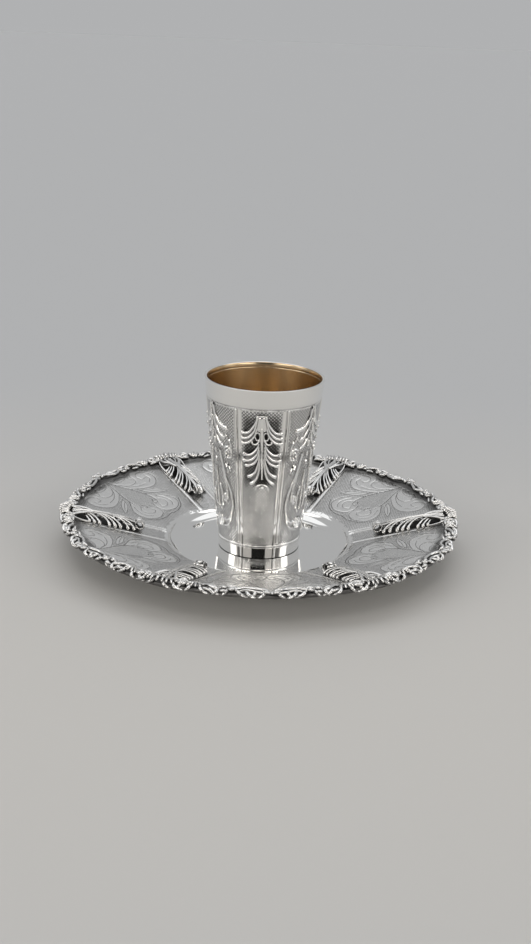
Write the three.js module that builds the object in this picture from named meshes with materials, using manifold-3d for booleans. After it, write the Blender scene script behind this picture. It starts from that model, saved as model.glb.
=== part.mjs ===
// A silver kiddush cup standing on its matching lobed saucer.
// Millimetres, +Z up. The origin is the middle of the saucer's flat underside, and -Y is the front.

import * as THREE from "three";
import { mergeVertices } from "three/addons/utils/BufferGeometryUtils.js";
import Module from "manifold-3d";

const wasm = await Module();
wasm.setup();

// ---------------------------------------------------------------- driving dimensions

const GAP = 0.3; // left between two pieces that are soldered or stand on each other
const SECTORS = 6; // panels round the cup and round the saucer

// Cup
const CUP_HEIGHT = 89.6;
const LIP_RADIUS = 30;
const FOOT_RADIUS = 20.7;
const CUP_WALL = 1;
const CUP_FLOOR = 1.4;
const FOOT_RECESS = 0.6; // hollow under the foot, so that the cup stands on a ring
const FOOT_RING = 2.2; // width of that ring
const LIP_BAND = 9.6; // plain polished band below the lip
const LIP_ROUND = 1.2; // height over which the rolled lip rounds over
const FOOT_BAND = 5.8; // plain polished band above the foot
const BAND_STEP = 0.35; // the chased panels lie this far inside the plain bands
const BAND_EASE = 0.6; // height over which a band steps back to the panels
const BORE_FILLET = 3; // round between the bore and its floor
const LEAF_PANEL_HALF = 26.6; // degrees from the middle of a leaf panel to the rib beside it
const RIB_WIDTH = 1.3;
const RIB_HEIGHT = 0.8;
const RIB_SINK = 0.6; // part of a rib that is inside the wall
const RIB_CLEAR = 2; // from a rib's lower end to the foot band, and half of it above the other end
const SCROLL_WIDTH = 1.5; // widest part of a chased scroll
const CUP_TURN = -1; // degrees that the cup is turned on its saucer

// Cast leaf on the cup, hanging from below the lip band
const CUP_LEAF_TOP = 78.2; // height of its crown above the foot
const CUP_LEAF_LENGTH = 38;
const CUP_LEAF_HALF_WIDTH = 9.2;
const CUP_LEAF_THICKNESS = 1.1;
const CUP_LEAF_STANDOFF = 0.7; // from the wall to the leaf's back
const EYE_HALF_WIDTH = 0.5; // of the oval pierced through a leaf on each side of its spine
const EYE_HALF_HEIGHT = 1;

// Saucer
const SHEET = 0.9;
const WELL_RADIUS = 42.6;
const COVE_RADIUS = 47;
const COVE_HEIGHT = 4.2;
const RIM_RADIUS = 98.6; // middle radius of the border's outer edge
const RIM_LOBE = 0.8; // the edge is this much fuller at the leaves and shallower between them
const RIM_HEIGHT = 15.2; // dish surface at the border
const EDGE_INSET = 4; // from the border's outer edge to the dish's own edge
const STRIP_HALF = 5.2; // half the stippled strip under a saucer leaf
const BAND_HALF = 7.6; // from that strip's middle to the outer side of the plain band
const BAND_RISE = 0.5;
const PANEL_RISE = 1.1; // crown of a panel between its two bands
const SAUCER_TURN = 4; // degrees, the front panel looks a little to the right

// Cast leaf on the saucer, growing inwards from the border
const SAUCER_LEAF_OUTER = 94;
const SAUCER_LEAF_LENGTH = 34;
const SAUCER_LEAF_HALF_WIDTH = 7.2;
const SAUCER_LEAF_THICKNESS = 1.1;
const SAUCER_LEAF_ARCH = 4.6; // spine above the dish at the leaf's middle
const LEAF_END_ARCH = 0.55; // share of that height left at the leaf's two ends
const TIP_CLEARANCE = 0.8; // frond tips above the dish
const SPINE_WIDTH = 1.7; // of both kinds of leaf
const CURL_RADIUS = 2.1; // of the curl that ends a saucer leaf
const CURL_WIDTH = 3.4;
const CURL_THICKNESS = 1.1;

// Cast border
const BORDER_CROWN = 3; // above the dish's edge
const BORDER_SKIRT = 1.9; // below it
const BORDER_LAP = 3; // how far its inner slope runs over the dish
const BORDER_REACH = 4.2; // how far it stands out past the dish's edge
const SCROLL_PITCH = 7.5; // degrees from one cast scroll to the next

const { clamp, degToRad, lerp, mapLinear, radToDeg, smoothstep } = THREE.MathUtils;
const SECTOR = (2 * Math.PI) / SECTORS;
const DISH_EDGE = RIM_RADIUS - EDGE_INSET;

const silver = (color, roughness) => new THREE.MeshStandardMaterial({ color, roughness, metalness: 1 });

// ---------------------------------------------------------------- solids

// A closed geometry as a manifold solid: shared vertices are merged, collapsed faces dropped, and a
// geometry that a mirroring move has left inside out is turned round again.
function toSolid(geometry) {
  const bare = geometry.clone();
  bare.deleteAttribute("normal");
  bare.deleteAttribute("uv");
  const merged = mergeVertices(bare, 1e-4);
  const faces = [];
  for (let i = 0; i < merged.index.count; i += 3) {
    const face = [0, 1, 2].map((k) => merged.index.getX(i + k));
    if (new Set(face).size === 3) faces.push(face);
  }
  const build = (list) =>
    new wasm.Manifold(
      new wasm.Mesh({
        numProp: 3,
        vertProperties: merged.attributes.position.array,
        triVerts: new Uint32Array(list.flat()),
      }),
    );
  const solid = build(faces);
  return solid.volume() > 0 ? solid : build(faces.map((face) => face.reverse()));
}

function fromSolid(solid) {
  const { vertProperties, triVerts } = solid.getMesh();
  const geometry = new THREE.BufferGeometry();
  geometry.setAttribute("position", new THREE.BufferAttribute(vertProperties, 3));
  geometry.setIndex(new THREE.BufferAttribute(triVerts, 1));
  return geometry;
}

// Several closed geometries that overlap, joined into one.
function join(geometries) {
  return fromSolid(geometries.map(toSolid).reduce((whole, piece) => whole.add(piece)));
}

// Moves every vertex of a geometry by a function of its own position.
function reshape(geometry, move) {
  const position = geometry.attributes.position;
  const point = new THREE.Vector3();
  for (let i = 0; i < position.count; i++) {
    move(point.fromBufferAttribute(position, i), i);
    position.setXYZ(i, point.x, point.y, point.z);
  }
  return geometry;
}

// A lathe turned about Z, its first column on +X and the rest counterclockwise.
// Profile points are [radius, height], outer side first going up.
function turned(profile, segments) {
  const points = profile.map(([radius, height]) => new THREE.Vector2(radius, height));
  return new THREE.LatheGeometry(points, segments).rotateX(Math.PI / 2).rotateZ(Math.PI / 2);
}

function addPiece(group, name, geometry, material) {
  const mesh = new THREE.Mesh(geometry, material);
  mesh.name = name;
  group.add(mesh);
  return mesh;
}

// ---------------------------------------------------------------- cup

const cupRadius = (height) => lerp(FOOT_RADIUS, LIP_RADIUS, height / CUP_HEIGHT);
const panelRadius = (height) => cupRadius(height) - BAND_STEP;

// A point on the cup's chased wall, `out` millimetres proud of it; angle from the front, to the right.
function onCup(angle, height, out, target = new THREE.Vector3()) {
  const radius = panelRadius(height) + out;
  return target.set(radius * Math.sin(angle), -radius * Math.cos(angle), height);
}

// The hollow beaker: foot ring, foot band, chased wall, lip band, rolled lip and bore.
function beakerWall() {
  const top = CUP_HEIGHT - LIP_BAND;
  const inside = (height) => cupRadius(height) - CUP_WALL - BAND_STEP;
  const profile = [
    [0, FOOT_RECESS],
    [FOOT_RADIUS - FOOT_RING, FOOT_RECESS],
    [FOOT_RADIUS - FOOT_RING, 0],
    [FOOT_RADIUS, 0],
    [cupRadius(FOOT_BAND), FOOT_BAND],
    [panelRadius(FOOT_BAND + BAND_EASE), FOOT_BAND + BAND_EASE],
    [panelRadius(top - BAND_EASE), top - BAND_EASE],
    [cupRadius(top), top],
    [cupRadius(CUP_HEIGHT - LIP_ROUND), CUP_HEIGHT - LIP_ROUND],
    [LIP_RADIUS, CUP_HEIGHT - LIP_ROUND / 4],
    [LIP_RADIUS - CUP_WALL / 2, CUP_HEIGHT],
    [inside(CUP_HEIGHT) + LIP_ROUND / 4, CUP_HEIGHT - LIP_ROUND / 4],
    [inside(CUP_FLOOR + BORE_FILLET), CUP_FLOOR + BORE_FILLET],
    [inside(CUP_FLOOR) - 0.8 * BORE_FILLET, CUP_FLOOR],
    [0, CUP_FLOOR],
  ];
  return turned(profile, 48);
}

// One straight rib between two panels, half sunk in the wall.
function cupRib(angle) {
  const low = FOOT_BAND + RIB_CLEAR;
  const high = CUP_HEIGHT - LIP_BAND - RIB_CLEAR / 2;
  const outline = new THREE.Shape()
    .moveTo(-RIB_WIDTH / 2, low)
    .lineTo(RIB_WIDTH / 2, low)
    .lineTo(RIB_WIDTH / 2, high)
    .lineTo(-RIB_WIDTH / 2, high);
  const bar = new THREE.ExtrudeGeometry(outline, { depth: RIB_HEIGHT + RIB_SINK, bevelEnabled: false });
  return reshape(bar, (p) => onCup(angle + p.x / panelRadius(p.y), p.y, p.z - RIB_SINK, p));
}

// A spindle turned about Z, `width` across where a share of its swell is 1, from z 0 to `length`.
function spindle(swell, width, length) {
  return turned(
    swell.map((share, k) => [(share * width) / 2, (k / (swell.length - 1)) * length]),
    4,
  );
}

// A rounded frond that swells to a bulb near its tip, bent along a curve on the cup's wall.
// The curve runs through [degrees from the panel's middle, height] pairs.
function cupScroll(route, middle, side) {
  const curve = new THREE.CatmullRomCurve3(
    route.map(([degrees, height]) => new THREE.Vector3(degrees, height, 0)),
  );
  const point = new THREE.Vector3();
  return reshape(spindle(SCROLL_SWELL, SCROLL_WIDTH, 1), (p) => {
    const share = clamp(p.z, 0, 1);
    curve.getPoint(share, point);
    const tangent = curve.getTangent(share);
    const perDegree = degToRad(panelRadius(point.y));
    const along = Math.hypot(tangent.x * perDegree, tangent.y);
    const degrees = point.x + (p.x * tangent.y) / along / perDegree;
    const height = point.y - (p.x * tangent.x * perDegree) / along;
    onCup(middle + side * degToRad(degrees), height, p.y, p);
  });
}

const SCROLL_SWELL = [0, 0.8, 1, 0];

// Half of the chased scroll work of one panel, from the top frond down to the shell at its foot.
const SCROLL_ROUTES = [
  [[2, 79], [7, 72.5], [14, 69.5], [23.5, 68]],
  [[2, 73], [7, 66.5], [13, 63.5], [19.5, 62]],
  [[9, 58], [13, 49], [21, 39], [26, 30], [22, 22], [10, 18.5]],
  [[12, 46], [17, 39], [18.5, 33], [14, 29.5]],
];

function beaker() {
  const pieces = [beakerWall()];
  for (let k = 0; k < SECTORS; k++) {
    for (const side of [1, -1]) {
      if (k % 2 === 0) pieces.push(cupRib(k * SECTOR + side * degToRad(LEAF_PANEL_HALF)));
      else for (const route of SCROLL_ROUTES) pieces.push(cupScroll(route, k * SECTOR, side));
    }
  }
  return join(pieces);
}

// ---------------------------------------------------------------- acanthus leaf

// Frond tips of one side of a leaf: [share of half width, share of length from the base].
const CUP_LEAF_TIPS = [
  [[0.94, 0.25], [1, 0.32], [0.98, 0.39]],
  [[0.9, 0.53], [0.92, 0.6], [0.72, 0.66]],
  [[0.62, 0.82], [0.48, 0.9]],
];
const SAUCER_LEAF_TIPS = [
  [[0.86, 0.2], [0.96, 0.28], [1, 0.36]],
  [[0.92, 0.5], [0.97, 0.57], [0.94, 0.64]],
  [[0.8, 0.76], [0.74, 0.83], [0.56, 0.9]],
];
const SPINE_SWELL = [0, 1, 0.9, 0.7, 0];

// Half of a leaf's outline, spine on the left: a scalloped edge with one rounded lobe for each frond.
// The inner edge runs inside the spine, which covers it.
function leafHalf(tiers, halfWidth, length, side) {
  const at = (across, along) => new THREE.Vector2(side * across * halfWidth, along * length);
  const inner = (share) => at(0.03 + 0.02 * Math.sin(Math.PI * share), share);
  const edge = [inner(0), at(0.3, 0), at(0.32, 0.06)];
  for (const tier of tiers) {
    tier.forEach(([across, along], k) => {
      const last = k === tier.length - 1;
      edge.push(at(across - 0.08, along - 0.03), at(across, along + 0.01));
      edge.push(last ? at(0.24, along + 0.02) : at(across - 0.42, along));
    });
  }
  for (let k = 4; k > 0; k--) edge.push(inner((0.97 * k) / 4));
  return new THREE.Shape(edge);
}

// The small oval eye pierced through a leaf beside its spine.
function leafEye(across, along) {
  const corners = Array.from({ length: 6 }, (_, k) => {
    const turn = (2 * Math.PI * k) / 6;
    return new THREE.Vector2(
      across + EYE_HALF_WIDTH * Math.cos(turn),
      along + EYE_HALF_HEIGHT * Math.sin(turn),
    );
  });
  return new THREE.Path(corners);
}

// A whole leaf: two lobed halves and a tapered spine, placed by `seat(across, along, up, target)`.
function leaf({ tiers, halfWidth, length, thickness, pierced, seat }) {
  const pieces = [];
  for (const side of [1, -1]) {
    const shape = leafHalf(tiers, halfWidth, length, side);
    if (pierced) shape.holes.push(leafEye(side * 0.19 * halfWidth, 0.27 * length));
    const half = new THREE.ExtrudeGeometry(shape, { depth: thickness, bevelEnabled: false });
    pieces.push(reshape(half, (p) => seat(p.x, p.y, p.z, p)));
  }
  const spine = spindle(SPINE_SWELL, SPINE_WIDTH, length);
  pieces.push(reshape(spine, (p) => seat(p.x, p.z, p.y * 1.2 + thickness / 2, p)));
  return join(pieces);
}

// The leaf that hangs on the cup: its crown is up, and it follows the wall's cone.
function cupLeaf(middle) {
  return leaf({
    tiers: CUP_LEAF_TIPS,
    halfWidth: CUP_LEAF_HALF_WIDTH,
    length: CUP_LEAF_LENGTH,
    thickness: CUP_LEAF_THICKNESS,
    pierced: true,
    seat: (across, along, up, target) => {
      const height = CUP_LEAF_TOP - along;
      return onCup(middle + across / panelRadius(height), height, CUP_LEAF_STANDOFF + up, target);
    },
  });
}

// ---------------------------------------------------------------- saucer

// Radius of the border's outer edge before its scrolls: fullest at the leaves.
const rimRadius = (angle) => RIM_RADIUS + RIM_LOBE * Math.cos(SECTORS * angle);

// Height of the dish's upper side on its smooth cone, without bands or panels.
function dishHeight(radius) {
  if (radius <= WELL_RADIUS) return SHEET;
  if (radius <= COVE_RADIUS) {
    const share = (radius - WELL_RADIUS) / (COVE_RADIUS - WELL_RADIUS);
    const round = 1 - Math.sqrt(1 - share * share);
    return lerp(SHEET, COVE_HEIGHT, (round + share) / 2);
  }
  return mapLinear(radius, COVE_RADIUS, DISH_EDGE, COVE_HEIGHT, RIM_HEIGHT);
}

const HALF_COLUMNS = 6; // columns of half a sector
const COLUMN_RISES = [0, 0, BAND_RISE, 0.5 * PANEL_RISE, 0.8 * PANEL_RISE, 0.95 * PANEL_RISE, PANEL_RISE];

// The angle of a column of half a sector from the leaf line, at a given radius.
function columnAngle(column, radius) {
  if (column === 0) return 0;
  if (column === 1) return Math.asin(STRIP_HALF / radius);
  return mapLinear(column, 2, HALF_COLUMNS, Math.asin(BAND_HALF / radius), SECTOR / 2);
}

// Rise of the chased dish above its smooth cone: the strip is level, bands are raised, panels crowned.
function dishRise(column, radius) {
  return COLUMN_RISES[column] * smoothstep(radius, COVE_RADIUS, lerp(COVE_RADIUS, DISH_EDGE, 0.2));
}

// The sheet dish: a lathe whose columns outside the cove are moved to the edges of the strips, bands
// and panels. Its rows are given as shares of the cove's width and of the rim's.
function dish() {
  const cove = (share) => lerp(WELL_RADIUS, COVE_RADIUS, share);
  const rim = (share) => lerp(COVE_RADIUS, DISH_EDGE, share);
  const upper = [0, cove(0), cove(0.4), cove(0.75), cove(1), rim(0.27), rim(0.65), rim(1)];
  const lower = [0, cove(0), cove(0.6), rim(0.01), rim(0.5), rim(1)];
  const inset = 0.4 * SHEET; // keeps the sheet's thickness where it slopes
  const profile = [
    ...lower.map((radius) => [radius, dishHeight(Math.max(radius - inset, 0)) - SHEET]),
    ...upper.reverse().map((radius) => [radius, dishHeight(radius)]),
  ];
  return reshape(turned(profile, 2 * HALF_COLUMNS * SECTORS), (p, i) => {
    const radius = Math.hypot(p.x, p.y);
    if (radius < rim(0.005)) return;
    const step = Math.floor(i / profile.length);
    const sector = Math.round(step / (2 * HALF_COLUMNS));
    const offset = step - 2 * HALF_COLUMNS * sector;
    const column = Math.abs(offset);
    const angle = sector * SECTOR + Math.sign(offset) * columnAngle(column, radius);
    const reach = smoothstep(radius, rim(0.65), rim(1));
    const lobed = radius + (rimRadius(angle) - RIM_RADIUS) * reach;
    p.set(lobed * Math.cos(angle), lobed * Math.sin(angle), p.z + dishRise(column, radius));
  });
}

// The leaf that lies over a leaf line of the saucer (the X axis of its group), base at the border.
function saucerLeaf() {
  const seat = (across, along, up, target) => {
    const radius = SAUCER_LEAF_OUTER - along;
    const arch = SAUCER_LEAF_ARCH * lerp(LEAF_END_ARCH, 1, Math.sin((Math.PI * along) / SAUCER_LEAF_LENGTH));
    const droop = (across / SAUCER_LEAF_HALF_WIDTH) ** 2 * (arch - TIP_CLEARANCE - BAND_RISE);
    return target.set(radius, across, dishHeight(radius) + arch - droop + up);
  };
  const inner = SAUCER_LEAF_OUTER - SAUCER_LEAF_LENGTH;
  const foot = dishHeight(inner) + LEAF_END_ARCH * SAUCER_LEAF_ARCH + SAUCER_LEAF_THICKNESS / 2;
  const body = leaf({
    tiers: SAUCER_LEAF_TIPS,
    halfWidth: SAUCER_LEAF_HALF_WIDTH,
    length: SAUCER_LEAF_LENGTH,
    thickness: SAUCER_LEAF_THICKNESS,
    pierced: false,
    seat,
  });
  const from = -Math.PI / 2;
  const to = 0.95 * Math.PI;
  const curl = new THREE.Shape()
    .absarc(0, 0, CURL_RADIUS, from, to, false)
    .absarc(0, 0, CURL_RADIUS - CURL_THICKNESS, to, from, true);
  const volute = new THREE.ExtrudeGeometry(curl, { depth: CURL_WIDTH, bevelEnabled: false, curveSegments: 3 })
    .rotateX(Math.PI / 2)
    .rotateZ(Math.PI)
    .translate(inner + CURL_THICKNESS / 2, -CURL_WIDTH / 2, foot + CURL_RADIUS - CURL_THICKNESS / 2);
  return join([body, volute]);
}

// ---------------------------------------------------------------- border

// A rounded bump of height 1 and the given half width, both angles in degrees.
function bump(offset, halfWidth) {
  const share = Math.min(Math.abs(offset) / halfWidth, 1);
  return 0.5 + 0.5 * Math.cos(Math.PI * share);
}

// What each cast feature adds to the border: [out, up, half width in degrees].
const SCROLLS = [0.7, 0.6, SCROLL_PITCH / 2];
const KNOB = [4.2, 0.8, 4]; // the volute at the middle of each panel
const SHELL = [2.8, 2, 8]; // the shell at each leaf

// How much the border swells at an angle in degrees from a leaf line.
function castSwell(degrees) {
  const fromLeaf = degrees - (360 / SECTORS) * Math.round((degrees * SECTORS) / 360);
  const fromMiddle = Math.abs(fromLeaf) - 180 / SECTORS;
  const shares = [
    Math.cos((Math.PI * fromLeaf) / SCROLLS[2]),
    bump(fromMiddle, KNOB[2]),
    bump(fromLeaf, SHELL[2]),
  ];
  const total = (k) => shares[0] * SCROLLS[k] + shares[1] * KNOB[k] + shares[2] * SHELL[k];
  return { out: total(0), up: total(1) };
}

// Rise of the dish's edge above its smooth cone, at an angle from a leaf line.
const edgeRise = (angle) => (PANEL_RISE * (1 - Math.cos(SECTORS * angle))) / 2;

// The cast ring of scrolls that is hooked over the dish's edge. Each point of its section is
// [out from the dish's edge, up from the edge, share of the swell that it takes].
function border() {
  const section = [
    [GAP, -BORDER_SKIRT, 0],
    [0.7 * BORDER_REACH, -BORDER_SKIRT, 0.6],
    [BORDER_REACH, GAP, 1],
    [0.4 * BORDER_REACH, BORDER_CROWN, 1],
    [-BORDER_LAP, 2 * GAP, 0],
    [GAP, 2 * GAP, 0],
  ];
  const profile = [...section, section[0]];
  const rows = profile.map(([out, up]) => [DISH_EDGE + out, RIM_HEIGHT + up]);
  const ring = turned(rows, 24 * SECTORS);
  return reshape(ring, (p, i) => {
    const [, up, share] = profile[i % profile.length];
    const angle = Math.atan2(p.y, p.x);
    const swell = castSwell(radToDeg(angle));
    const radius = Math.hypot(p.x, p.y) + rimRadius(angle) - RIM_RADIUS + share * swell.out;
    const lift = up > 0 ? edgeRise(angle) + share * swell.up : 0;
    p.set(radius * Math.cos(angle), radius * Math.sin(angle), p.z + lift);
  });
}

// ---------------------------------------------------------------- the set

const set = new THREE.Group();

const saucer = new THREE.Group();
saucer.rotation.z = degToRad(SAUCER_TURN);
set.add(saucer);
addPiece(saucer, "saucer_dish", dish(), silver(0xb9b9b6, 0.25));
addPiece(saucer, "saucer_border", border(), silver(0xa8a7a2, 0.3));
for (let k = 0; k < SECTORS; k++) {
  const piece = addPiece(saucer, `saucer_leaf_${k + 1}`, saucerLeaf(), silver(0x8f8d88, 0.32));
  piece.rotation.z = k * SECTOR;
}

const cup = new THREE.Group();
cup.rotation.z = degToRad(CUP_TURN);
cup.position.z = SHEET + GAP;
set.add(cup);
addPiece(cup, "cup_body", beaker(), silver(0xb7b5b1, 0.25));
for (let k = 0; k < SECTORS / 2; k++) {
  addPiece(cup, `cup_leaf_${k + 1}`, cupLeaf(2 * k * SECTOR), silver(0x8f8d88, 0.32));
}

export default set;
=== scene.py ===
"""Looks of a silver kiddush cup that stands on its matching lobed saucer.

Lengths inside the classes are millimetres; every mesh is written in metres. +Z is up, -Y is the front.
"""

import logging
import math
from collections.abc import Callable, Sequence
from dataclasses import dataclass, field
from enum import Enum
from itertools import product

import bmesh
import bpy
import numpy as np
from mathutils import Matrix, Vector
from mathutils.geometry import delaunay_2d_cdt


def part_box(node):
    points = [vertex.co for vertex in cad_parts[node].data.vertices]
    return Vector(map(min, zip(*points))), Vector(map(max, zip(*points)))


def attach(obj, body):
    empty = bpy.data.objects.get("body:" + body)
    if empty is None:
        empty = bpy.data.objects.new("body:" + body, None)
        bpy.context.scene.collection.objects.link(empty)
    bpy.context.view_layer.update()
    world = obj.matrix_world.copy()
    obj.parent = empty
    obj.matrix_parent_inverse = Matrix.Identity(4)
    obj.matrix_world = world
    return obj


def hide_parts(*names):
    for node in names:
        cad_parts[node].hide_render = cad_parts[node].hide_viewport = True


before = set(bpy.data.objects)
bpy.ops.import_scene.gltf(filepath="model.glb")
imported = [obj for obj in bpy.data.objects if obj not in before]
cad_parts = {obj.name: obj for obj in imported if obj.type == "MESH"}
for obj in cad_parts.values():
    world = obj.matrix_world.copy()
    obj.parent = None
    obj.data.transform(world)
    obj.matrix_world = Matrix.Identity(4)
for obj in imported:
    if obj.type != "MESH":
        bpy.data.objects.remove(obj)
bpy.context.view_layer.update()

log = logging.getLogger("kiddush_cup")
Array = np.ndarray
Colour = tuple[float, float, float, float]
Place = tuple[float, float, float]
Seat = Callable[[Array, Array, Array], Array]
Route = Sequence[tuple[float, float]]
Swept = tuple[Array, float, float]

MM = 0.001
SECTORS = 6
SECTOR = 2 * math.pi / SECTORS
HALF_SIN, HALF_COS = math.sin(SECTOR / 2), math.cos(SECTOR / 2)
PANEL = 360 // SECTORS
BODY = "root"


class Slot(Enum):
    """The record's material slots."""

    CHASED = "chased_silver"
    CAST = "cast_silver"


# ---------------------------------------------------------------- shading


class Wire:
    """A value in a node tree, with arithmetic that adds Math nodes."""

    def __init__(self, tree: "Shading", socket: bpy.types.NodeSocket) -> None:
        """Wraps one output socket of a tree."""
        self.tree = tree
        self.socket = socket

    def __add__(self, other: "Wire | float") -> "Wire":
        """Sum."""
        return self.tree.math("ADD", self, other)

    __radd__ = __add__

    def __mul__(self, other: "Wire | float") -> "Wire":
        """Product."""
        return self.tree.math("MULTIPLY", self, other)

    __rmul__ = __mul__

    def __sub__(self, other: "Wire | float") -> "Wire":
        """Difference."""
        return self.tree.math("SUBTRACT", self, other)

    def __rsub__(self, other: "Wire | float") -> "Wire":
        """Difference from a number, as in 1 - mask."""
        return self.tree.math("SUBTRACT", other, self)

    def __truediv__(self, other: "Wire | float") -> "Wire":
        """Quotient."""
        return self.tree.math("DIVIDE", self, other)

    def sine(self) -> "Wire":
        """Sine of the value in radians."""
        return self.tree.math("SINE", self)

    def size(self) -> "Wire":
        """The value without its sign."""
        return self.tree.math("ABSOLUTE", self)

    def part(self) -> "Wire":
        """The value's fraction."""
        return self.tree.math("FRACT", self)

    def whole(self) -> "Wire":
        """The value rounded down."""
        return self.tree.math("FLOOR", self)

    def most(self, other: "Wire | float") -> "Wire":
        """The greater of the two."""
        return self.tree.math("MAXIMUM", self, other)

    def clamped(self) -> "Wire":
        """The value held between 0 and 1."""
        return self.tree.math("ADD", self, 0.0, use_clamp=True)

    def step(self, low: float, high: float) -> "Wire":
        """A smooth step.

        Args:
            low: the value where it is 0.
            high: the value where it is 1.

        Returns:
            The step.
        """
        made = self.tree.node(
            "ShaderNodeMapRange",
            {"interpolation_type": "SMOOTHSTEP"},
            {"Value": self, "From Min": low, "From Max": high},
        )
        return Wire(self.tree, made.outputs["Result"])


class Shading:
    """A node tree that is filled through one method, node()."""

    def __init__(self, owner: bpy.types.Material | bpy.types.World) -> None:
        """Empties the owner's node tree and keeps it.

        Args:
            owner: the material or world that is shaded.
        """
        owner.use_nodes = True
        self.tree = owner.node_tree
        self.tree.nodes.clear()

    def node(
        self,
        kind: str,
        settings: dict[str, object] | None = None,
        inputs: dict[str | int, object] | None = None,
    ) -> bpy.types.Node:
        """Adds one node.

        Args:
            kind: Blender's name of the node type.
            settings: properties, set before the sockets.
            inputs: values or links of the sockets, by name or number.

        Returns:
            The node.
        """
        made = self.tree.nodes.new(kind)
        for name, value in (settings or {}).items():
            setattr(made, name, value)
        for name, value in (inputs or {}).items():
            if isinstance(value, Wire):
                self.tree.links.new(value.socket, made.inputs[name])
            elif isinstance(value, bpy.types.NodeSocket):
                self.tree.links.new(value, made.inputs[name])
            else:
                made.inputs[name].default_value = value
        return made

    def math(self, operation: str, *values: "Wire | float", use_clamp: bool = False) -> Wire:
        """Adds a Math node.

        Args:
            operation: Blender's name of the operation.
            values: its one or two operands.
            use_clamp: whether the result is held between 0 and 1.

        Returns:
            The result.
        """
        settings = {"operation": operation, "use_clamp": use_clamp}
        made = self.node("ShaderNodeMath", settings, dict(enumerate(values)))
        return Wire(self, made.outputs[0])

    def attribute(self, name: str) -> bpy.types.Node:
        """The node that reads a mesh attribute by name."""
        return self.node("ShaderNodeAttribute", {"attribute_name": name})

    def value(self, name: str) -> Wire:
        """A number stored on the mesh."""
        return Wire(self, self.attribute(name).outputs["Fac"])

    def axes(self, vector: bpy.types.NodeSocket) -> tuple[Wire, Wire, Wire]:
        """The three parts of a vector."""
        parts = self.node("ShaderNodeSeparateXYZ", inputs={0: vector}).outputs
        return Wire(self, parts[0]), Wire(self, parts[1]), Wire(self, parts[2])

    def noise(self, vector: bpy.types.NodeSocket, scale: float, detail: float = 2.0) -> Wire:
        """A soft random value from 0 to 1 that changes over a surface.

        Args:
            vector: where the surface is.
            scale: changes per unit of that vector.
            detail: octaves.

        Returns:
            The value.
        """
        inputs = {"Vector": vector, "Scale": scale, "Detail": detail}
        return Wire(self, self.node("ShaderNodeTexNoise", inputs=inputs).outputs["Fac"])

    def blend(self, share: "Wire | float", low: object, high: object) -> bpy.types.NodeSocket:
        """Mixes two colours.

        Args:
            share: 0 gives low, 1 gives high.
            low: a colour or a link to one.
            high: a colour or a link to one.

        Returns:
            The mixed colour's socket.
        """
        made = self.node("ShaderNodeMix", {"data_type": "RGBA"}, {0: share, 6: low, 7: high})
        return made.outputs[2]

    def bump(self, height: Wire, distance: float) -> bpy.types.NodeSocket:
        """A normal from a height.

        Args:
            height: the height, as a share of the distance.
            distance: the real height of 1, in metres.

        Returns:
            The normal's socket.
        """
        return self.node("ShaderNodeBump", inputs={"Height": height, "Distance": distance}).outputs["Normal"]

    def surface(self, inputs: dict[str, object]) -> None:
        """Ends the tree in a Principled shader with these sockets."""
        shader = self.node("ShaderNodeBsdfPrincipled", inputs=inputs)
        self.node("ShaderNodeOutputMaterial", inputs={"Surface": shader.outputs["BSDF"]})


def new_material(name: str) -> tuple[bpy.types.Material, Shading, bpy.types.NodeSocket]:
    """Starts a material.

    Args:
        name: its name.

    Returns:
        The material, its tree and the socket that says where on the object a point lies.
    """
    made = bpy.data.materials.new(name)
    tree = Shading(made)
    return made, tree, tree.node("ShaderNodeTexCoord").outputs["Object"]


def shade(red: float, green: float, blue: float) -> Colour:
    """A colour with full opacity."""
    return red, green, blue, 1.0


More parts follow.
